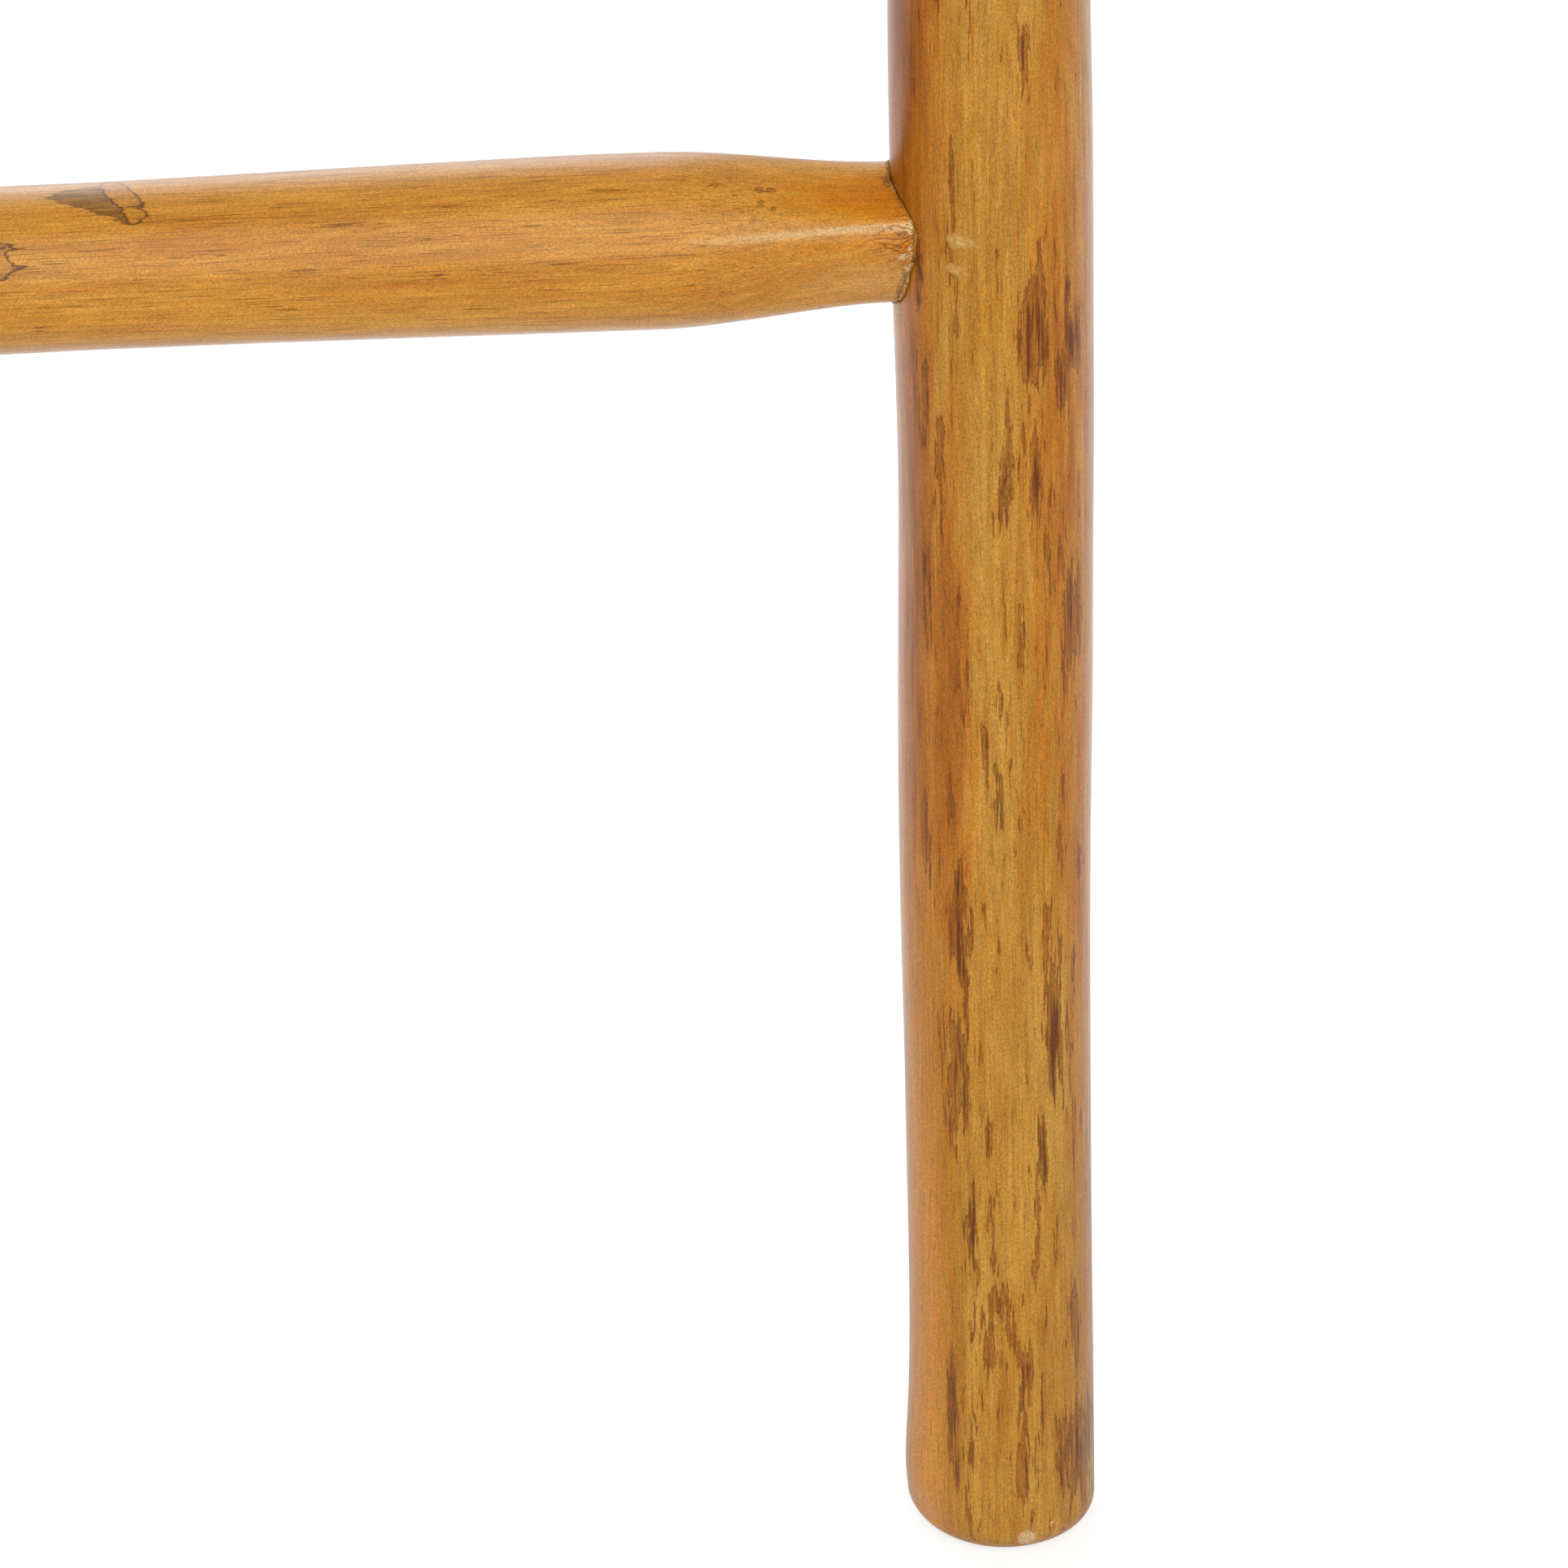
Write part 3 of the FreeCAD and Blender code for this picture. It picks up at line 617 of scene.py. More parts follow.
class Joint:
    """One end of a rung and the rail it meets. Distances along run out from the rung's middle, and
    turns are in radians from the front, upwards."""

    def __init__(self, number, side):
        self.number, self.rail, self.name = number, side + "_rail", f"{side}_{number}"
        self.outward = 1 if side == "right" else -1
        self.girth, rise, bow_turn, ridge_turn = branches[number - 1]
        self.bow_turn, self.ridge_turn = math.radians(bow_turn), math.radians(ridge_turn)
        height = first_rung_height + rung_pitch * (number - 1)
        left = rail_centre("left_rail", height - rise / 2)
        right = rail_centre("right_rail", height + rise / 2)
        self.half = (right - left).length / 2
        turned = Vector((1, 0, 0)).rotation_difference(right - left).to_matrix().to_4x4()
        self.placement = Matrix.Translation((left + right) / 2) @ turned
        self.rail_radius = rail_radius(self.rail, (left if side == "left" else right).z)
        self.shoulder = self.half - self.rail_radius

    def reach(self, turn, from_shoulder):
        """Distance of the branch's surface from its middle."""
        shaved = 1 - eased(from_shoulder / shave_length)
        fade = bell(np.maximum(from_shoulder - shave_length, 0), 0, swell_fade)
        radius = rung_middle + (rung_swell - rung_middle) * fade + (rung_neck - rung_swell) * shaved
        power = 2 + (neck_squareness - 2) * shaved
        from_ridge = (turn - self.ridge_turn + np.pi) % (2 * np.pi) - np.pi
        corner = from_ridge + math.pi / 4
        squared = (np.abs(np.cos(corner)) ** power + np.abs(np.sin(corner)) ** power) ** (1 / power)
        broken = ridge_break * bell(from_ridge, ridge_break_turn, ridge_break_width)
        broken = broken * np.exp(-np.maximum(from_shoulder + ridge_break_back, 0) / ridge_break_length)
        return self.girth * radius * 2 ** (1 / power - 1 / 2) / squared - broken

    def cope(self, turn, reach):
        """Distance along to the coped shoulder, at a distance from the middle."""
        return self.half - np.sqrt((self.rail_radius + glue_line) ** 2 - (reach * np.cos(turn)) ** 2)

    def edge(self, turn):
        """Distance along to the outer edge of the shoulder, and that edge's distance from the middle.
        Each depends on the other, and a dozen rounds settle them to a hundredth of a millimetre."""
        reach = self.reach(turn, 0)
        for _ in range(12):
            along = self.cope(turn, reach)
            reach = self.reach(turn, self.shoulder - along)
        return along, reach

    def placed(self, along, reach, turn):
        """Points of the ladder, from their distance along, distance from the middle and turn."""
        bow = rung_bow * np.cos(np.pi / 2 * along / self.half) ** 2
        back = bow * math.cos(self.bow_turn) - reach * np.cos(turn)
        up = bow * math.sin(self.bow_turn) + reach * np.sin(turn)
        local = np.stack((self.outward * along, back, up, np.ones_like(along)), axis=-1)
        return (local @ np.array(self.placement).T)[..., :3]

    def torn(self, turn, from_edge):
        """How much the plane tore the fibres, which is most just below the ridge at the shoulder."""
        from_ridge = np.degrees((turn - self.ridge_turn + np.pi) % (2 * np.pi) - np.pi)
        below_ridge = bell(from_ridge, torn_turn, torn_width)
        return (0.2 + 0.8 * below_ridge) * np.exp(-from_edge / (torn_length + torn_longer * below_ridge))

    def skin(self, turn):
        """Rows of the surface from the rung's middle to the tenon's end, each with its distance
        along, distance from the middle, share of end grain and tearing."""
        plain = self.shoulder - finely_drawn
        edge, neck = self.edge(turn)
        rows = []
        for along in np.arange(plain_step / 2, plain, plain_step):
            rows.append((along, self.reach(turn, self.shoulder - along), 0, 0))
        for share in np.linspace(0, 1, int(finely_drawn / neck_step)):
            along = plain + (edge - plain) * share
            rows.append((along, self.reach(turn, self.shoulder - along), 0, self.torn(turn, edge - along)))
        for share in (0, 0.3, 0.65, 1):
            reach = neck + (tenon_radius - neck) * share
            rows.append((self.cope(turn, reach), reach, 1, 0))
        end = self.half + tenon_past_centre
        rows += [(self.half, tenon_radius, 1, 0), (end - tenon_chamfer, tenon_radius, 1, 0)]
        rows += [(end, tenon_radius - tenon_chamfer, 1, 0), (end, tenon_radius / 2, 1, 0), (end, 0, 1, 0)]
        return [np.array([part + 0 * turn for part in column]) for column in zip(*rows)]


rung_wood = lacquered_wood(
    "rung_wood",
    {
        "light": "DA9C3B", "honey": "CC882D", "brown": "B0641A", "orange": "D4840A", "russet": "C87404",
        "veil": "925C1E", "stain_and_shade": "683A10", "bark": "74501E", "pale": "E8C48A", "pore": "7E4A1C",
        "crack": "8A4810", "painted_light": "E8C48A",
    },
    figure_strength=0.45,
    pore_length=16 * MM,
    pore_strength=0.7,
)
clean_wood = -0.18                      # of the rungs, which are whiter than the rails and less stained
# how many bends, stains and twigs each rung has, and how far in mm from its middle
bend_count, bend_reach = 4, 120
rung_stain_count, rung_stain_reach = 34, 190
twig_count, twig_reach = 2, 150
# stains on the front of the lowest rung's right part, where they really are
near_stains = [
    (171, 58, 2.8, 2.4, 1.2), (174, 60, 2.0, 2.0, 1.1), (171, 46, 2.6, 2.0, 1.2), (174, 43, 1.8, 1.8, 1.0),
    (160, 62, 3, 1.2, 0.9), (165, 54, 3, 1.2, 0.9), (135, 59, 22, 1.2, 0.7), (123, 38, 20, 1.2, 0.6),
    (30, 27, 60, 0.7, 0.8), (38, 25, 5, 1.0, 0.9), (32, 50, 16, 0.6, 0.8), (4, 52, 9, 0.6, 0.8),
    (58, 14, 10, 0.6, 0.8), (48, -14, 34, 0.7, 0.7), (-8, -25, 6, 1.6, 0.9), (10, -46, 30, 0.7, 0.8),
    (95, -16, 35, 0.7, 0.7), (150, -12, 10, 0.8, 0.7), (24, 57, 5, 0.6, 0.8),
    (90, 32, 50, 0.6, 0.7), (110, 6, 36, 0.6, 0.7), (70, 42, 30, 0.6, 0.6), (128, 26, 26, 0.6, 0.7),
]
# of the same rung: slight bends with their rise in mm, chips and, at the right shoulder, chips and painted
# shade where the joint stands open, with turn, distance from the shoulder, length, width and strength
near_bends = [(75, 90, 170, 40, 0.9), (75, -90, 170, 40, -0.9)]
near_chips = [(13.2, 83, 1.3, 1.4, 1.0), (12.0, 72, 1.0, 2.0, 1.0)]
shoulder_chips = [(24, 0.8, 2.2, 3.2, 1.1), (-3, 1.8, 3.8, 2.4, 1.0), (6, 1.2, 1.6, 1.6, 0.9)]
shoulder_gap_shade = [(-28, 0.8, 1.3, 8, 1.8), (-50, 0.7, 1.2, 7, 1.8), (75, 1.0, 2.0, 5, 1.0)]
# Where a twig was cut off, bark is left beside the healed wood. These are outlines on the unrolled
# surface, in mm along from the middle and round from the front, with their corners anticlockwise.
outline_reach = 4.0                     # mm to each side of an outline over which its mark is painted
near_bark = [[(-4.6, 27.9), (7.6, 22.3), (16.6, 18.4), (17.5, 24), (12.5, 33.5), (4.4, 31.9), (-0.2, 30.7)]]
near_scars = [
    [(8.9, 33), (11.2, 26.5), (14, 23.8), (20.4, 23.5), (16.7, 29.8), (13.9, 34.7), (10.7, 35.6)],
    [(13.9, 23.7), (16.1, 18.8), (17.6, 18.3), (20.9, 20.5), (19.1, 22.9)],
    [(-27, 9.5), (-15.7, 5.5), (-12.6, 7.6), (-12.4, 8.6), (-14.2, 12), (-15.3, 14.2)],
    [(-15, 12.3), (-11, 13.3), (-15, 14.2)],
    [(-13.5, 7.6), (-9, 8.5), (-13.5, 9.2)],
]


def outlined(turn, out, along, shapes):
    """0.5 on the outlines of convex shapes, more within them and less without."""
    x, y = along / MM, np.radians(turn) * out / MM
    field = np.zeros(len(x))
    for corners in shapes:
        depth = np.full(len(x), outline_reach)
        for (x0, y0), (x1, y1) in zip(corners, corners[1:] + corners[:1]):
            side = ((x1 - x0) * (y - y0) - (y1 - y0) * (x - x0)) / math.hypot(x1 - x0, y1 - y0)
            depth = np.minimum(depth, side)
        field = np.maximum(field, 0.5 + depth / (2 * outline_reach))
    return field


def twig_scar(at, across, length, width, chance):
    """Outlines of a patch of bark that points along the grain and of the healed wood beside it."""
    lean = chance.uniform(-0.25, 0.25) * width
    tip, end = (at - length, across), at + length * chance.uniform(0.3, 0.6)
    low, high = (at, across - width / 2 + lean), (at - 0.2 * length, across + width / 2 + lean)
    return [tip, low, high], [high, low, (end, low[1] + 0.3 * width), (end - 0.1 * length, high[1])]


def at_shoulder(joint, marks):
    """Marks given by their turn and their distance from a coped shoulder, as marks along the rung."""
    placed_marks = []
    for mark_turn, inset, *rest in marks:
        edge = joint.edge(math.radians(mark_turn))[0] / MM
        placed_marks.append((joint.outward * (edge - inset), mark_turn, *rest))
    return placed_marks


ring_turns = np.arange(rung_sides) * 2 * np.pi / rung_sides
for number in range(1, len(branches) + 1):
    left, right = Joint(number, "left"), Joint(number, "right")
    ends = {}
    for joint in (left, right):
        along, reach, cut, torn = joint.skin(ring_turns)
        from_pith = (reach * np.sin(ring_turns), -reach * np.cos(ring_turns), joint.outward * along)
        ends[joint] = (joint.placed(along, reach, ring_turns), np.stack(from_pith, axis=-1), cut, torn)
    points, in_grain, cut, torn = (
        np.concatenate((of_left[::-1], of_right)) for of_left, of_right in zip(ends[left], ends[right])
    )
    row, side = np.meshgrid(np.arange(len(points) - 1), np.arange(rung_sides), indexing="ij")
    here, after = row * rung_sides + side, row * rung_sides + (side + 1) % rung_sides
    faces = np.stack((here, here + rung_sides, after + rung_sides, after), axis=-1)
    sheet = bpy.data.meshes.new("branch")
    sheet.from_pydata(points.reshape(-1, 3).tolist(), [], faces.reshape(-1, 4).tolist())
    grain_start = 10.0 + 2 * number
    in_grain[..., 2] += grain_start
    sheet.attributes.new("in_grain", "FLOAT_VECTOR", "POINT").data.foreach_set("vector", in_grain.ravel())
    painted(sheet, "cut", cut.ravel())
    painted(sheet, "torn", torn.ravel())
    chance = np.random.default_rng(100 + number)
    bends = []
    for _ in range(bend_count):
        at, bend_turn = chance.uniform(-bend_reach, bend_reach), chance.uniform(-180, 180)
        length, width, rise = chance.uniform(60, 140), chance.uniform(16, 34), chance.uniform(-0.6, 0.6)
        bends.append((at, bend_turn, length, width, rise))
    if number == 1:
        bends = near_bends
    places = in_tree(sheet, grain_start)
    painted(sheet, "rise", sum(near(*places, *bend) * rise * MM for *bend, rise in bends))
    rung = shaped(f"rung_{number}_branch", peeled, {**peeled_rung, "Material": rung_wood}, sheet)
    rung.data.set_sharp_from_angle(angle=sharp_angle)
    places = in_tree(rung.data, grain_start)
    stains_and_shade = []
    for _ in range(rung_stain_count):
        at, mark_turn = chance.uniform(-rung_stain_reach, rung_stain_reach), chance.uniform(-180, 180)
        if number > 1 or at < -20 or not -60 < mark_turn < 110:
            length, width = chance.uniform(5, 30), chance.uniform(1.0, 3.5)
            stains_and_shade.append((at, mark_turn, length, width, chance.uniform(0.6, 1.0)))
    bark, scars = [], []
    for _ in range(twig_count):
        at, across = chance.uniform(-twig_reach, twig_reach), chance.uniform(-50, 50)
        if number > 1 or at < -40:
            of_twig = twig_scar(at, across, chance.uniform(9, 16), chance.uniform(6, 11), chance)
            bark.append(of_twig[0])
            scars.append(of_twig[1])
    if number == 1:
        # the lowest rung's own stains, with painted shade in the open parts of its right joint drawn in as
        # stain marks
        stains_and_shade += near_stains + at_shoulder(right, shoulder_gap_shade)
        bark += near_bark
        scars += near_scars
    painted(rung.data, "stain_and_shade", marked(places, stains_and_shade) + clean_wood)
    painted(rung.data, "bark", outlined(*places, bark))
    painted(rung.data, "scar", outlined(*places, scars))
    on_turn, _, along = places
    from_shoulder = np.where(along > 0, right.shoulder, left.shoulder) - np.abs(along)
    # the neck is orange above its ridge, partly its own tone and partly painted shade, and where the fibres
    # are torn; a painted highlight lies on the ridge and painted light makes it pale beneath, each with its
    # place and width in degrees from the ridge
    from_ridge = on_turn - math.degrees(right.ridge_turn)
    shaved = 1 - eased(from_shoulder / (50 * MM))
    upper = bell(from_ridge, 38, 22)
    below = bell(from_ridge, -10, 22) * np.exp(-from_shoulder / (10 * MM))
    ridge_highlight = bell(from_ridge, 5 * shaved, 3) * (1 - eased(from_shoulder / (75 * MM)))
    underside_light = bell(from_ridge, -55, 40)
    painted(rung.data, "shaved", shaved)
    painted(rung.data, "blush_and_shade", shaved * (0.15 + 0.85 * upper) + 0.6 * below)
    painted(rung.data, "painted_light", np.maximum(1.6 * ridge_highlight, 0.5 * shaved * underside_light))
    chips = near_chips + at_shoulder(right, shoulder_chips) if number == 1 else []
    for joint in (left, right):
        for _ in range(3):
            chip_turn = math.degrees(joint.ridge_turn) + chance.uniform(-40, 12)
            chip_size, strength = chance.uniform(1.6, 3.0), chance.uniform(0.6, 1.0)
            chips += at_shoulder(joint, [(chip_turn, 0.6, chip_size, chip_size, strength)])
    painted(rung.data, "chip", marked(places, chips))
    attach(rung, "root")
    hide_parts(f"rung_{number}")

# ==================================================================================== the brads
# Two steel brads, cut from wire, are driven through the rail's front into every tenon. They are the
# CAD's own solids, and only their finish is made here.

steel, tree = new_material("brad_steel")
at = add(tree, "ShaderNodeTexCoord").outputs["Object"]
wire_scale = (1 / (0.2 * MM), 1 / (3 * MM), 1 / (0.2 * MM))      # drawing marks run along the brad
drawn = add(tree, "ShaderNodeVectorMath", (at, wire_scale), operation="MULTIPLY")
marks = add(tree, "ShaderNodeTexNoise", {"Vector": drawn, "Scale": 1.0, "Detail": 2.0})
shade = add(tree, "ShaderNodeMix", (marks, linear("8A8C8E"), linear("B4B6B8")), data_type="RGBA")
rough = add(tree, "ShaderNodeMapRange", (marks, 0.3, 0.7, 0.25, 0.5))
bump = add(tree, "ShaderNodeBump", {"Height": marks, "Distance": 0.01 * MM})
metal = {"Base Color": shade, "Metallic": 1.0, "Roughness": rough, "Normal": bump}
add(tree, "ShaderNodeOutputMaterial", [add(tree, "ShaderNodeBsdfPrincipled", metal)])
joints = [Joint(number, side) for number in range(1, len(branches) + 1) for side in ("left", "right")]
for joint in joints:
    for slot in bpy.data.objects[f"brads_{joint.name}"].material_slots:
        slot.material = steel

# ======================================================================== filler over the brads
# The mouths of the brads' holes are closed with pale filler, wiped on with a finger under the
# lacquer: the upper one is a blob with a pit in it, the lower one a smear that runs down to the side.

brad_inset, brad_spacing, brad_rise = 9 * MM, 8 * MM, 3.4 * MM
plug_radius, plug_depth, smear_thickness = 1.7 * MM, 2.3 * MM, 0.3 * MM
# of the upper and the lower: half length, half width, lean in degrees, height, depth of the pit, and
# how far the finger dragged it towards the rung and down
smears = [
    (4.2 * MM, 2.2 * MM, -4, 0.55 * MM, 0.4 * MM, 0.3 * MM, 1.8 * MM),
    (3.6 * MM, 1.6 * MM, -27, 0.5 * MM, 0.0, 1.6 * MM, 1.4 * MM),
]
smear_rings, smear_sides = 16, 48
filler_paste, tree = new_material("wood_filler")
at = add(tree, "ShaderNodeTexCoord").outputs["Object"]
cast = add(tree, "ShaderNodeTexNoise", {"Vector": at, "Scale": 1 / (1.6 * MM), "Detail": 3.0})
grit = add(tree, "ShaderNodeTexNoise", {"Vector": at, "Scale": 1 / (0.35 * MM), "Detail": 1.0})
middle = add(tree, "ShaderNodeAttribute", attribute_name="middle").outputs["Fac"]
shade = add(tree, "ShaderNodeMath", (middle, 0.5, cast), operation="MULTIPLY_ADD")
shade = add(tree, "ShaderNodeMapRange", (shade, 0.55, 0.95, 0.0, 1.0))
shade = add(tree, "ShaderNodeMix", (shade, linear("BE8834"), linear("D6AC60")), data_type="RGBA")
dark = add(tree, "ShaderNodeMapRange", (grit, 0.62, 0.70, 0.0, 0.5))
shade = add(tree, "ShaderNodeMix", (dark, shade, linear("7C4E1C")), data_type="RGBA")
relief = add(tree, "ShaderNodeMath", (cast, 3.0, grit), operation="MULTIPLY_ADD")
bump = add(tree, "ShaderNodeBump", {"Height": relief, "Distance": 0.06 * MM})
rough = add(tree, "ShaderNodeMapRange", (grit, 0.3, 0.7, 0.2, 0.35))
paste = {"Base Color": shade, "Roughness": rough, "Normal": bump, "IOR": 1.4}
add(tree, "ShaderNodeOutputMaterial", [add(tree, "ShaderNodeBsdfPrincipled", paste)])


def smeared(joint, which):
    """Rings of points over one brad: out over the smear, round its edge, and down and in under the
    plug. Each ring is on the rail's curve. Each point comes with its share of the way to the middle."""
    half_length, half_width, lean, proud, pit, inward, down = smears[which]
    rise = brad_rise + brad_spacing * (0.5 - which)
    front = -math.sqrt(joint.rail_radius**2 - brad_inset**2)
    mouth = joint.placement @ Vector((joint.outward * (joint.half - brad_inset), front, rise))
    middle = rail_centre(joint.rail, mouth.z)
    mouth_turn = math.atan2(mouth.x - middle.x, middle.y - mouth.y)
    lean = math.radians(lean) * joint.outward
    own = Vector((3.1 * joint.number, 7.7 * which, 5.3 * joint.outward))
    rings = [(share, 0.0, None) for share in np.linspace(0, 1, smear_rings).tolist()]
    rings += [(1.0, 0.0, -smear_thickness), (0.0, 1.0, -smear_thickness)]
    rings += [(0.0, 1.0, -plug_depth), (0.0, 0.0, -plug_depth)]
    points = []
    for of_edge, of_plug, lift in rings:
        for side in range(smear_sides):
            angle = 2 * math.pi * side / smear_sides
            toward = Vector((math.cos(angle), math.sin(angle)))
            ragged = 1 + 0.4 * noise.noise(1.6 * toward.to_3d() + own)
            edge = Vector((half_length * toward.x, half_width * toward.y)) * ragged
            edge.rotate(Matrix.Rotation(lean, 2))
            spot = edge * of_edge + toward * plug_radius * of_plug
            if not of_plug:
                spot -= Vector((inward * joint.outward, down))
            lump = 1 + 0.9 * noise.noise(spot.to_3d() / (1.1 * MM) + own)
            crown = proud * (1 - of_edge**2) ** 1.6 * lump - pit * math.exp(-((of_edge / 0.22) ** 2))
            height = mouth.z + spot.y
            reach = rail_radius(joint.rail, height) + (crown if lift is None else lift)
            around = mouth_turn + spot.x / joint.rail_radius
            out = Vector((math.sin(around), -math.cos(around), 0))
            points.append((rail_centre(joint.rail, height) + reach * out, 1 - of_edge))
    return points


for joint in joints:
    work = bmesh.new()
    middle = work.verts.layers.float.new("middle")
    for which in range(len(smears)):
        ring_points = []
        for point, to_middle in smeared(joint, which):
            ring_points.append(work.verts.new(point))
            ring_points[-1][middle] = to_middle
        for here in range(len(ring_points) - smear_sides):
            after = here + 1 if (here + 1) % smear_sides else here + 1 - smear_sides
            corners = (here, here + smear_sides, after + smear_sides, after)
            work.faces.new([ring_points[corner] for corner in corners])
    bmesh.ops.remove_doubles(work, verts=work.verts, dist=0.002 * MM)
    bmesh.ops.recalc_face_normals(work, faces=work.faces)
    mesh = bpy.data.meshes.new("smears")
    work.to_mesh(mesh)
    mesh.shade_smooth()
    mesh.materials.append(filler_paste)
    filler = bpy.data.objects.new(f"filler_{joint.name}_smears", mesh)
    bpy.context.scene.collection.objects.link(filler)
    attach(filler, "root")
    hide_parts(f"filler_{joint.name}")

# ================================================================================ the ten glue beads
# Glue was squeezed out as each tenon was driven home. It was wiped, lacquered over and left as an
# uneven amber bead in the corner between shoulder and rail, thick in places and missing in others.

bead_out = 0.1 * MM                     # from the shoulder's edge to the middle of the bead
bead_sizes = {"Radius": 0.38 * MM, "Lump length": 3.2 * MM, "Thinnest": 0.05, "Thickest": 1.8}
bead, size = new_tree("Glue bead", Geometry=["Geometry"], Float=bead_sizes, Material=["Material"])
corner_line = add(bead, "GeometryNodeMeshToCurve", {"Mesh": size["Geometry"]})
corner_line = add(bead, "GeometryNodeResampleCurve", {"Curve": corner_line, "Count": 260})
place = add(bead, "GeometryNodeInputPosition")
lumps = add(bead, "ShaderNodeCombineXYZ", [size["Lump length"]] * 3)
lumps = add(bead, "ShaderNodeVectorMath", (place, lumps), operation="DIVIDE")
lumps = add(bead, "ShaderNodeTexNoise", {"Vector": lumps, "Scale": 1.0, "Detail": 2.0})
thick = add(bead, "ShaderNodeMapRange", (lumps, 0.32, 0.68, size["Thinnest"], size["Thickest"]))
round_bead = add(bead, "GeometryNodeCurvePrimitiveCircle", {"Resolution": 10, "Radius": size["Radius"]})
tube = {"Curve": corner_line, "Profile Curve": round_bead, "Scale": thick}
tube = add(bead, "GeometryNodeCurveToMesh", tube)
fine = add(bead, "ShaderNodeTexNoise", {"Vector": place, "Scale": 1 / (0.9 * MM), "Detail": 2.0})
lift = add(bead, "ShaderNodeMath", (fine, -0.5), operation="ADD")
lift = add(bead, "ShaderNodeMath", (lift, size["Radius"]), operation="MULTIPLY")
normal = add(bead, "GeometryNodeInputNormal")
offset = add(bead, "ShaderNodeVectorMath", {0: normal, "Scale": lift}, operation="SCALE")
tube = add(bead, "GeometryNodeSetPosition", {"Geometry": tube, "Offset": offset})
end_tree(bead, tube, size["Material"])

dried_glue, tree = new_material("glue")
at = add(tree, "ShaderNodeTexCoord").outputs["Object"]
dusty = add(tree, "ShaderNodeTexNoise", {"Vector": at, "Scale": 1 / (2.2 * MM), "Detail": 3.0})
dust = add(tree, "ShaderNodeMapRange", (dusty, 0.48, 0.64, 0.0, 1.0))
shade = add(tree, "ShaderNodeMix", (dust, linear("A26C26"), linear("C9A05C")), data_type="RGBA")
dirty = add(tree, "ShaderNodeTexNoise", {"Vector": at, "Scale": 1 / (1.3 * MM), "Detail": 4.0})
dirt = add(tree, "ShaderNodeMapRange", (dirty, 0.56, 0.66, 0.0, 0.8))
shade = add(tree, "ShaderNodeMix", (dirt, shade, linear("4E2C10")), data_type="RGBA")
bump = add(tree, "ShaderNodeBump", {"Height": dirty, "Distance": 0.2 * MM})
rough = add(tree, "ShaderNodeMapRange", (dusty, 0.3, 0.7, 0.25, 0.55))
gel = {"Base Color": shade, "Roughness": rough, "Normal": bump, "IOR": 1.4}
add(tree, "ShaderNodeOutputMaterial", [add(tree, "ShaderNodeBsdfPrincipled", gel)])
for joint in joints:
    edge, neck = joint.edge(ring_turns)
    corner_points = joint.placed(edge, neck + bead_out, ring_turns)
    ring = bpy.data.meshes.new("corner")
    edges = [(k, (k + 1) % rung_sides) for k in range(rung_sides)]
    ring.from_pydata(corner_points.tolist(), edges, [])
    glue = shaped(f"glue_{joint.name}_bead", bead, {**bead_sizes, "Material": dried_glue}, ring)
    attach(glue, "root")
    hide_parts(f"glue_{joint.name}")

# ============================================================================= torn fibres at the necks
# The drawknife tore the grain where it met the shoulder. Below each ridge the ends of the fibres
# stand up, point at the rail and are held by the lacquer.

fibre_sizes = {"Density": 1.0e6, "Length": 1.9 * MM, "Thickness": 0.2 * MM, "Lift": 0.3 * MM}
fibres, size = new_tree(
    "Torn fibres", Geometry=["Geometry"], Float=fibre_sizes, Int=["Seed"], Material=["Material"]
)
torn = add(fibres, "GeometryNodeInputNamedAttribute", {"Name": "torn"})
density = add(fibres, "ShaderNodeMath", (size["Density"], torn), operation="MULTIPLY")
roots = {"Mesh": size["Geometry"], "Density": density, "Seed": size["Seed"]}
roots = add(fibres, "GeometryNodeDistributePointsOnFaces", roots).outputs
outward = add(fibres, "GeometryNodeInputNamedAttribute", {"Name": "outward"}, data_type="FLOAT_VECTOR")
lie = (roots["Normal"], outward)
lie = add(fibres, "FunctionNodeAxesToRotation", lie, primary_axis="Z", secondary_axis="X")
stir = (-0.5, -0.15, -0.45), (0.5, 0.15, 0.45), 0, size["Seed"]      # least, most, place and seed
stir = add(fibres, "FunctionNodeRandomValue", stir, data_type="FLOAT_VECTOR")
stir = add(fibres, "FunctionNodeEulerToRotation", [stir])
lie = add(fibres, "FunctionNodeRotateRotation", (lie, stir), rotation_space="LOCAL")
sunk = add(fibres, "ShaderNodeMath", (size["Lift"], -0.4), operation="MULTIPLY")
root_end = add(fibres, "ShaderNodeCombineXYZ", (0.0, 0.0, sunk))
bend = add(fibres, "ShaderNodeMath", (size["Length"], 0.6), operation="MULTIPLY")
bend = add(fibres, "ShaderNodeCombineXYZ", (bend, 0.0, 0.0))
free_end = add(fibres, "ShaderNodeCombineXYZ", (size["Length"], 0.0, size["Lift"]))
fibre = {"Resolution": 5, "Start": root_end, "Middle": bend, "End": free_end}
fibre = add(fibres, "GeometryNodeCurveQuadraticBezier", fibre)
run = add(fibres, "GeometryNodeSplineParameter").outputs["Factor"]
taper = add(fibres, "ShaderNodeMapRange", (run, 0.3, 1.0, 1.0, 0.15))
strand = add(fibres, "GeometryNodeCurvePrimitiveCircle", {"Resolution": 5, "Radius": size["Thickness"]})
fibre = {"Curve": fibre, "Profile Curve": strand, "Scale": taper, "Fill Caps": True}
fibre = add(fibres, "GeometryNodeCurveToMesh", fibre)
length = add(fibres, "FunctionNodeRandomValue", (0.35, 1.4, 0, size["Seed"]))
grown = {"Points": roots["Points"], "Instance": fibre, "Rotation": lie, "Scale": length}
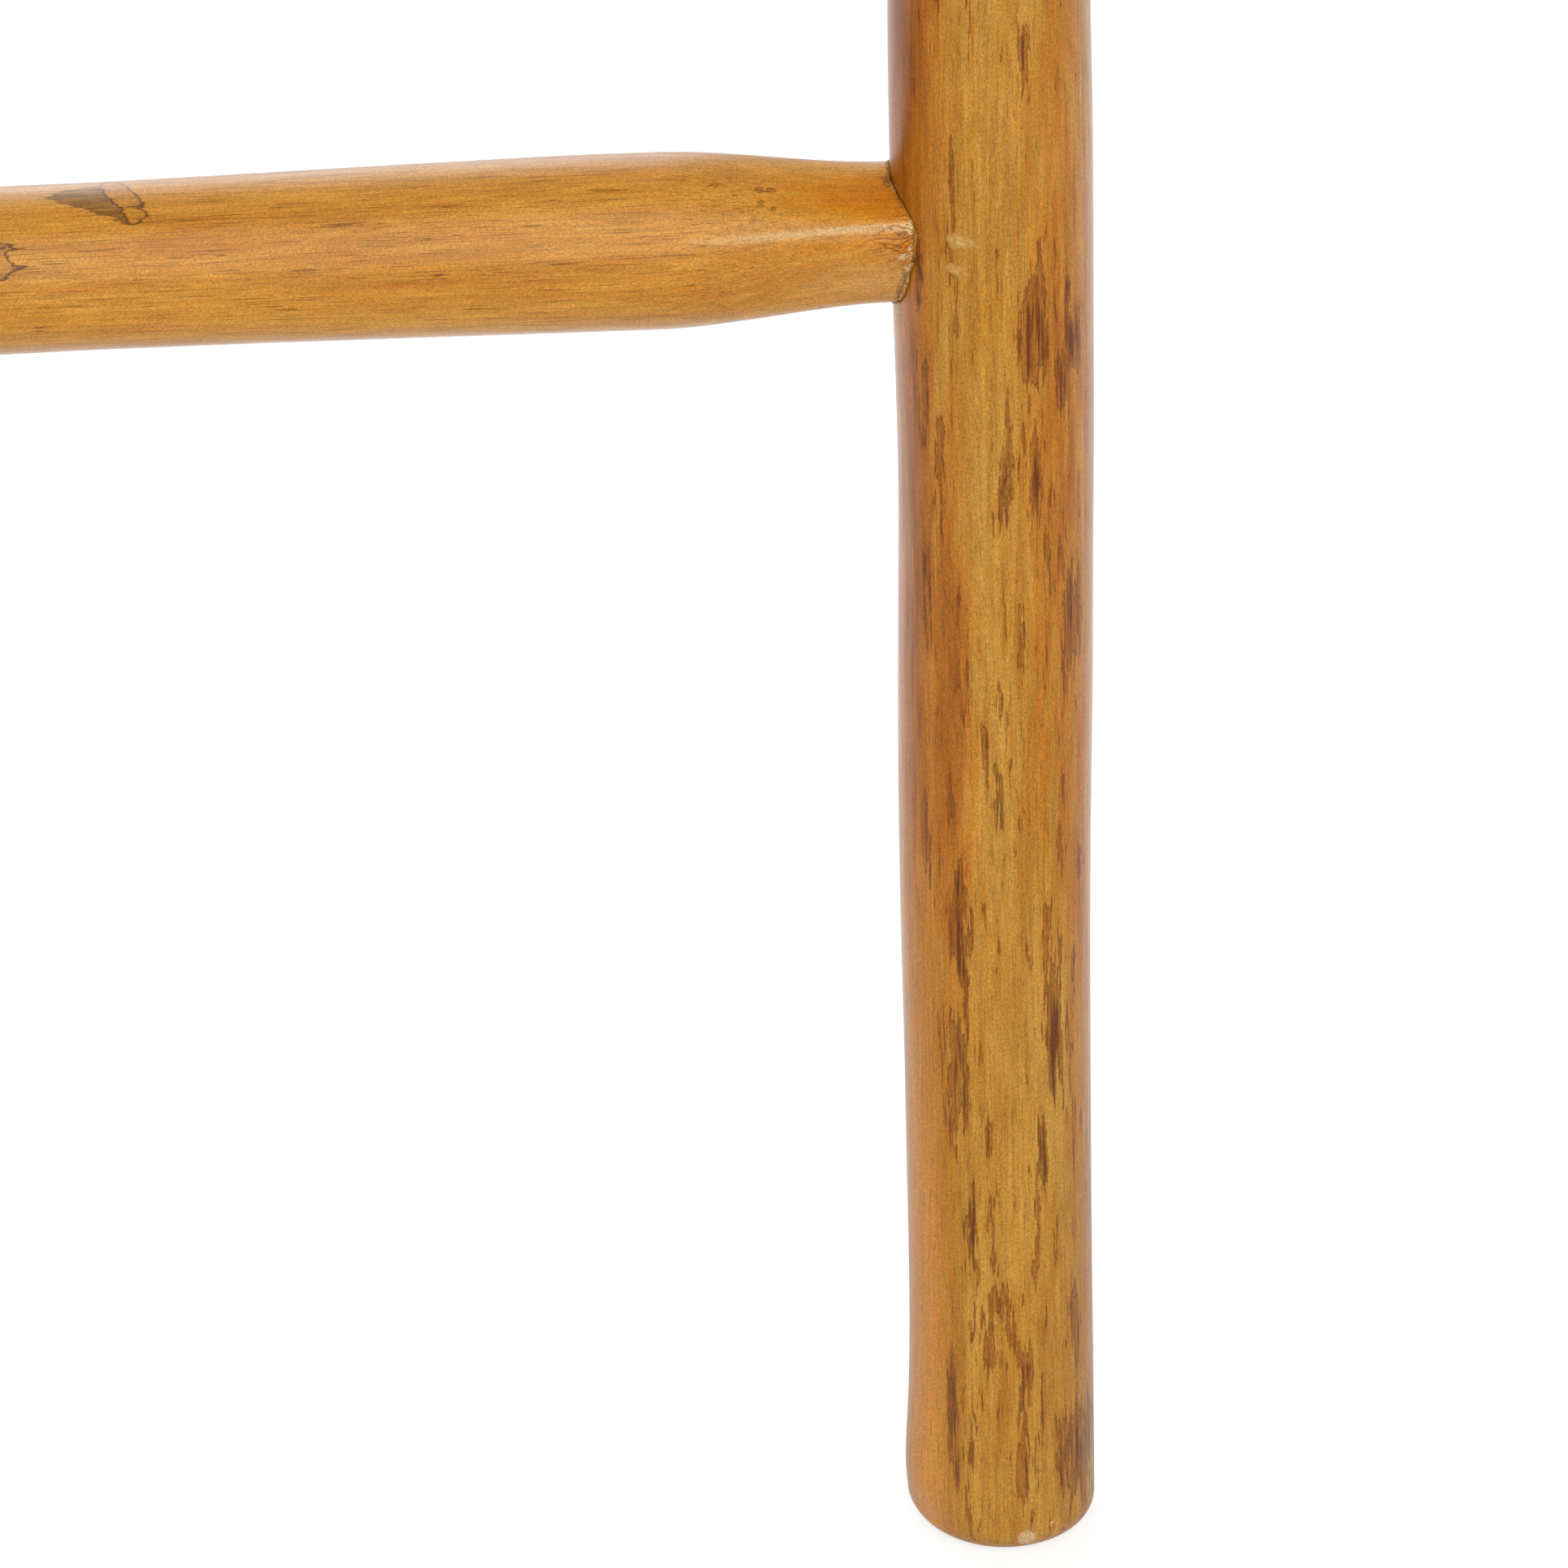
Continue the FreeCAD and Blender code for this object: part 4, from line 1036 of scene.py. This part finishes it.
grown = add(fibres, "GeometryNodeInstanceOnPoints", grown)
tone = add(fibres, "FunctionNodeRandomValue", (0.0, 1.0, 0, size["Seed"]))
grown = {"Geometry": grown, "Name": "tone", "Value": tone}
grown = add(fibres, "GeometryNodeStoreNamedAttribute", grown, domain="INSTANCE")
end_tree(fibres, grown, size["Material"])

fibre_wood, tree = new_material("torn_fibres")
tone = add(tree, "ShaderNodeAttribute", attribute_name="tone").outputs["Fac"]
at = add(tree, "ShaderNodeTexCoord").outputs["Object"]
mottle = add(tree, "ShaderNodeTexNoise", {"Vector": at, "Scale": 1 / (0.8 * MM), "Detail": 2.0})
tone = add(tree, "ShaderNodeMath", (mottle, 0.5, tone), operation="MULTIPLY_ADD")
tone = add(tree, "ShaderNodeMapRange", (tone, 0.35, 1.15, 0.0, 1.0))
shade = add(tree, "ShaderNodeMix", (tone, linear("AC5E16"), linear("CE9040")), data_type="RGBA")
rough = add(tree, "ShaderNodeMapRange", (mottle, 0.3, 0.7, 0.4, 0.6))
bump = add(tree, "ShaderNodeBump", {"Height": mottle, "Distance": 0.05 * MM})
husk = {"Base Color": shade, "Roughness": rough, "Normal": bump, "IOR": 1.4}
add(tree, "ShaderNodeOutputMaterial", [add(tree, "ShaderNodeBsdfPrincipled", husk)])
# they grow on a patch of the neck, from turns to turns of the ridge and from far to near the edge
patch_rows, patch_sides = 14, 40
patch_turns, patch_reach = (-62, 14), (7.5 * MM, 0.8 * MM)
for joint in joints:
    window = joint.ridge_turn + np.radians(np.linspace(*patch_turns, patch_sides))
    edge = joint.edge(window)[0]
    from_edge = np.linspace(*patch_reach, patch_rows)[:, None] + 0 * window
    along = edge - from_edge
    patch_points = joint.placed(along, joint.reach(window, joint.shoulder - along), window)
    row, side = np.meshgrid(np.arange(patch_rows - 1), np.arange(patch_sides - 1), indexing="ij")
    here = row * patch_sides + side
    faces = np.stack((here, here + 1, here + 1 + patch_sides, here + patch_sides), axis=-1)
    faces = faces[..., ::-joint.outward]
    patch = bpy.data.meshes.new("patch")
    patch.from_pydata(patch_points.reshape(-1, 3).tolist(), [], faces.reshape(-1, 4).tolist())
    painted(patch, "torn", joint.torn(window, from_edge).ravel())
    to_rail = joint.placement.to_3x3() @ Vector((joint.outward, 0, 0))
    outward = np.tile(np.array(to_rail), patch_rows * patch_sides)
    patch.attributes.new("outward", "FLOAT_VECTOR", "POINT").data.foreach_set("vector", outward)
    seeded = {**fibre_sizes, "Seed": 10 * joint.number + joint.outward, "Material": fibre_wood}
    fuzz = shaped(f"torn_fibres_{joint.name}", fibres, seeded, patch)
    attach(fuzz, "root")

# ================================================================================ floor and light
# A white studio: a floor that stays white to the camera except for the soft shadow at the feet, an even
# surround that gloss sees darker in front, a broad soft key lamp in front and a weaker one behind.

floor_half = 40.0
floor_mesh = bpy.data.meshes.new("floor")
corners = [(x * floor_half, y * floor_half, 0) for x, y in ((-1, -1), (1, -1), (1, 1), (-1, 1))]
floor_mesh.from_pydata(corners, [], [(0, 1, 2, 3)])
floor = bpy.data.objects.new("floor", floor_mesh)
bpy.context.scene.collection.objects.link(floor)
floor_paint, tree = new_material("white_floor")
seen = add(tree, "ShaderNodeBsdfDiffuse", {"Color": (0.4, 0.4, 0.4, 1)})
on_floor = add(tree, "ShaderNodeTexCoord").outputs["Object"]
away = add(tree, "ShaderNodeVectorMath", [on_floor], operation="LENGTH").outputs["Value"]
glow = add(tree, "ShaderNodeMapRange", (away, 1.0, 6.0, 0.75, 0.92))
glow = add(tree, "ShaderNodeEmission", {"Color": (1, 1, 1, 1), "Strength": glow})
seen = add(tree, "ShaderNodeAddShader", (seen, glow))
lit = add(tree, "ShaderNodeBsdfDiffuse", {"Color": (0.85, 0.85, 0.85, 1)})
to_back = add(tree, "ShaderNodeSeparateXYZ", [on_floor]).outputs["Y"]
mirrored = add(tree, "ShaderNodeMapRange", (to_back, -0.2, 0.35, 0.28, 1.15))
mirrored = add(tree, "ShaderNodeEmission", {"Color": (1, 1, 1, 1), "Strength": mirrored})
path = add(tree, "ShaderNodeLightPath").outputs
shown = add(tree, "ShaderNodeMixShader", (path["Is Glossy Ray"], lit, mirrored))
shown = add(tree, "ShaderNodeMixShader", (path["Is Camera Ray"], shown, seen))
add(tree, "ShaderNodeOutputMaterial", [shown])
floor_mesh.materials.append(floor_paint)

world = bpy.data.worlds.new("studio")
bpy.context.scene.world = world
world.use_nodes = True
tree = world.node_tree
tree.nodes.clear()
aim = add(tree, "ShaderNodeTexCoord").outputs["Generated"]
to_back = add(tree, "ShaderNodeSeparateXYZ", [aim]).outputs["Y"]
mirrored = add(tree, "ShaderNodeMapRange", (to_back, -0.3, 0.6, 0.1, 0.36))
ambient = add(tree, "ShaderNodeMapRange", (to_back, -1.0, 1.0, 0.43, 0.37))
path = add(tree, "ShaderNodeLightPath").outputs
level = add(tree, "ShaderNodeMix", (path["Is Glossy Ray"], ambient, mirrored))
level = add(tree, "ShaderNodeMix", (path["Is Camera Ray"], level, 1.0))
around = add(tree, "ShaderNodeBackground", {"Color": (1, 1, 1, 1), "Strength": level})
add(tree, "ShaderNodeOutputWorld", [around])

for name, place, aimed, width, watts in (
    ("key", (0.6, -4.5, 3.2), (0.1, 0, 0.5), 6.0, 212),
    ("back fill", (-1.0, 3.5, 2.4), (0, 0, 0.8), 3.6, 75),
):
    lamp = bpy.data.lights.new(name, "AREA")
    lamp.shape = "SQUARE"
    lamp.size = width
    lamp.energy = watts
    holder = bpy.data.objects.new(name, lamp)
    bpy.context.scene.collection.objects.link(holder)
    holder.location = place
    holder.rotation_euler = (Vector(aimed) - Vector(place)).to_track_quat("-Z", "Y").to_euler()

# ========================================================================================= camera
# It looks at the ladder's lower right corner from two metres off, a little to the left and from
# above, through a long lens.

photo_width = 1932
focal_pixels = 9620.3
distance = 2.0
target = Vector((174.6 * MM, 0, 217.3 * MM))
elevation, from_left, roll = math.radians(25), math.radians(3), math.radians(-1.16)
camera = bpy.data.objects.new("camera", bpy.data.cameras.new("camera"))
bpy.context.scene.collection.objects.link(camera)
bpy.context.scene.camera = camera
camera.data.sensor_width = 36.0
camera.data.lens = focal_pixels / photo_width * camera.data.sensor_width
stand = Matrix.Rotation(-from_left, 4, "Z") @ Matrix.Rotation(math.pi / 2 - elevation, 4, "X")
stand = stand @ Matrix.Rotation(roll, 4, "Z") @ Matrix.Translation((0, 0, distance))
camera.matrix_world = Matrix.Translation(target) @ stand
bpy.context.scene.view_settings.view_transform = "Standard"
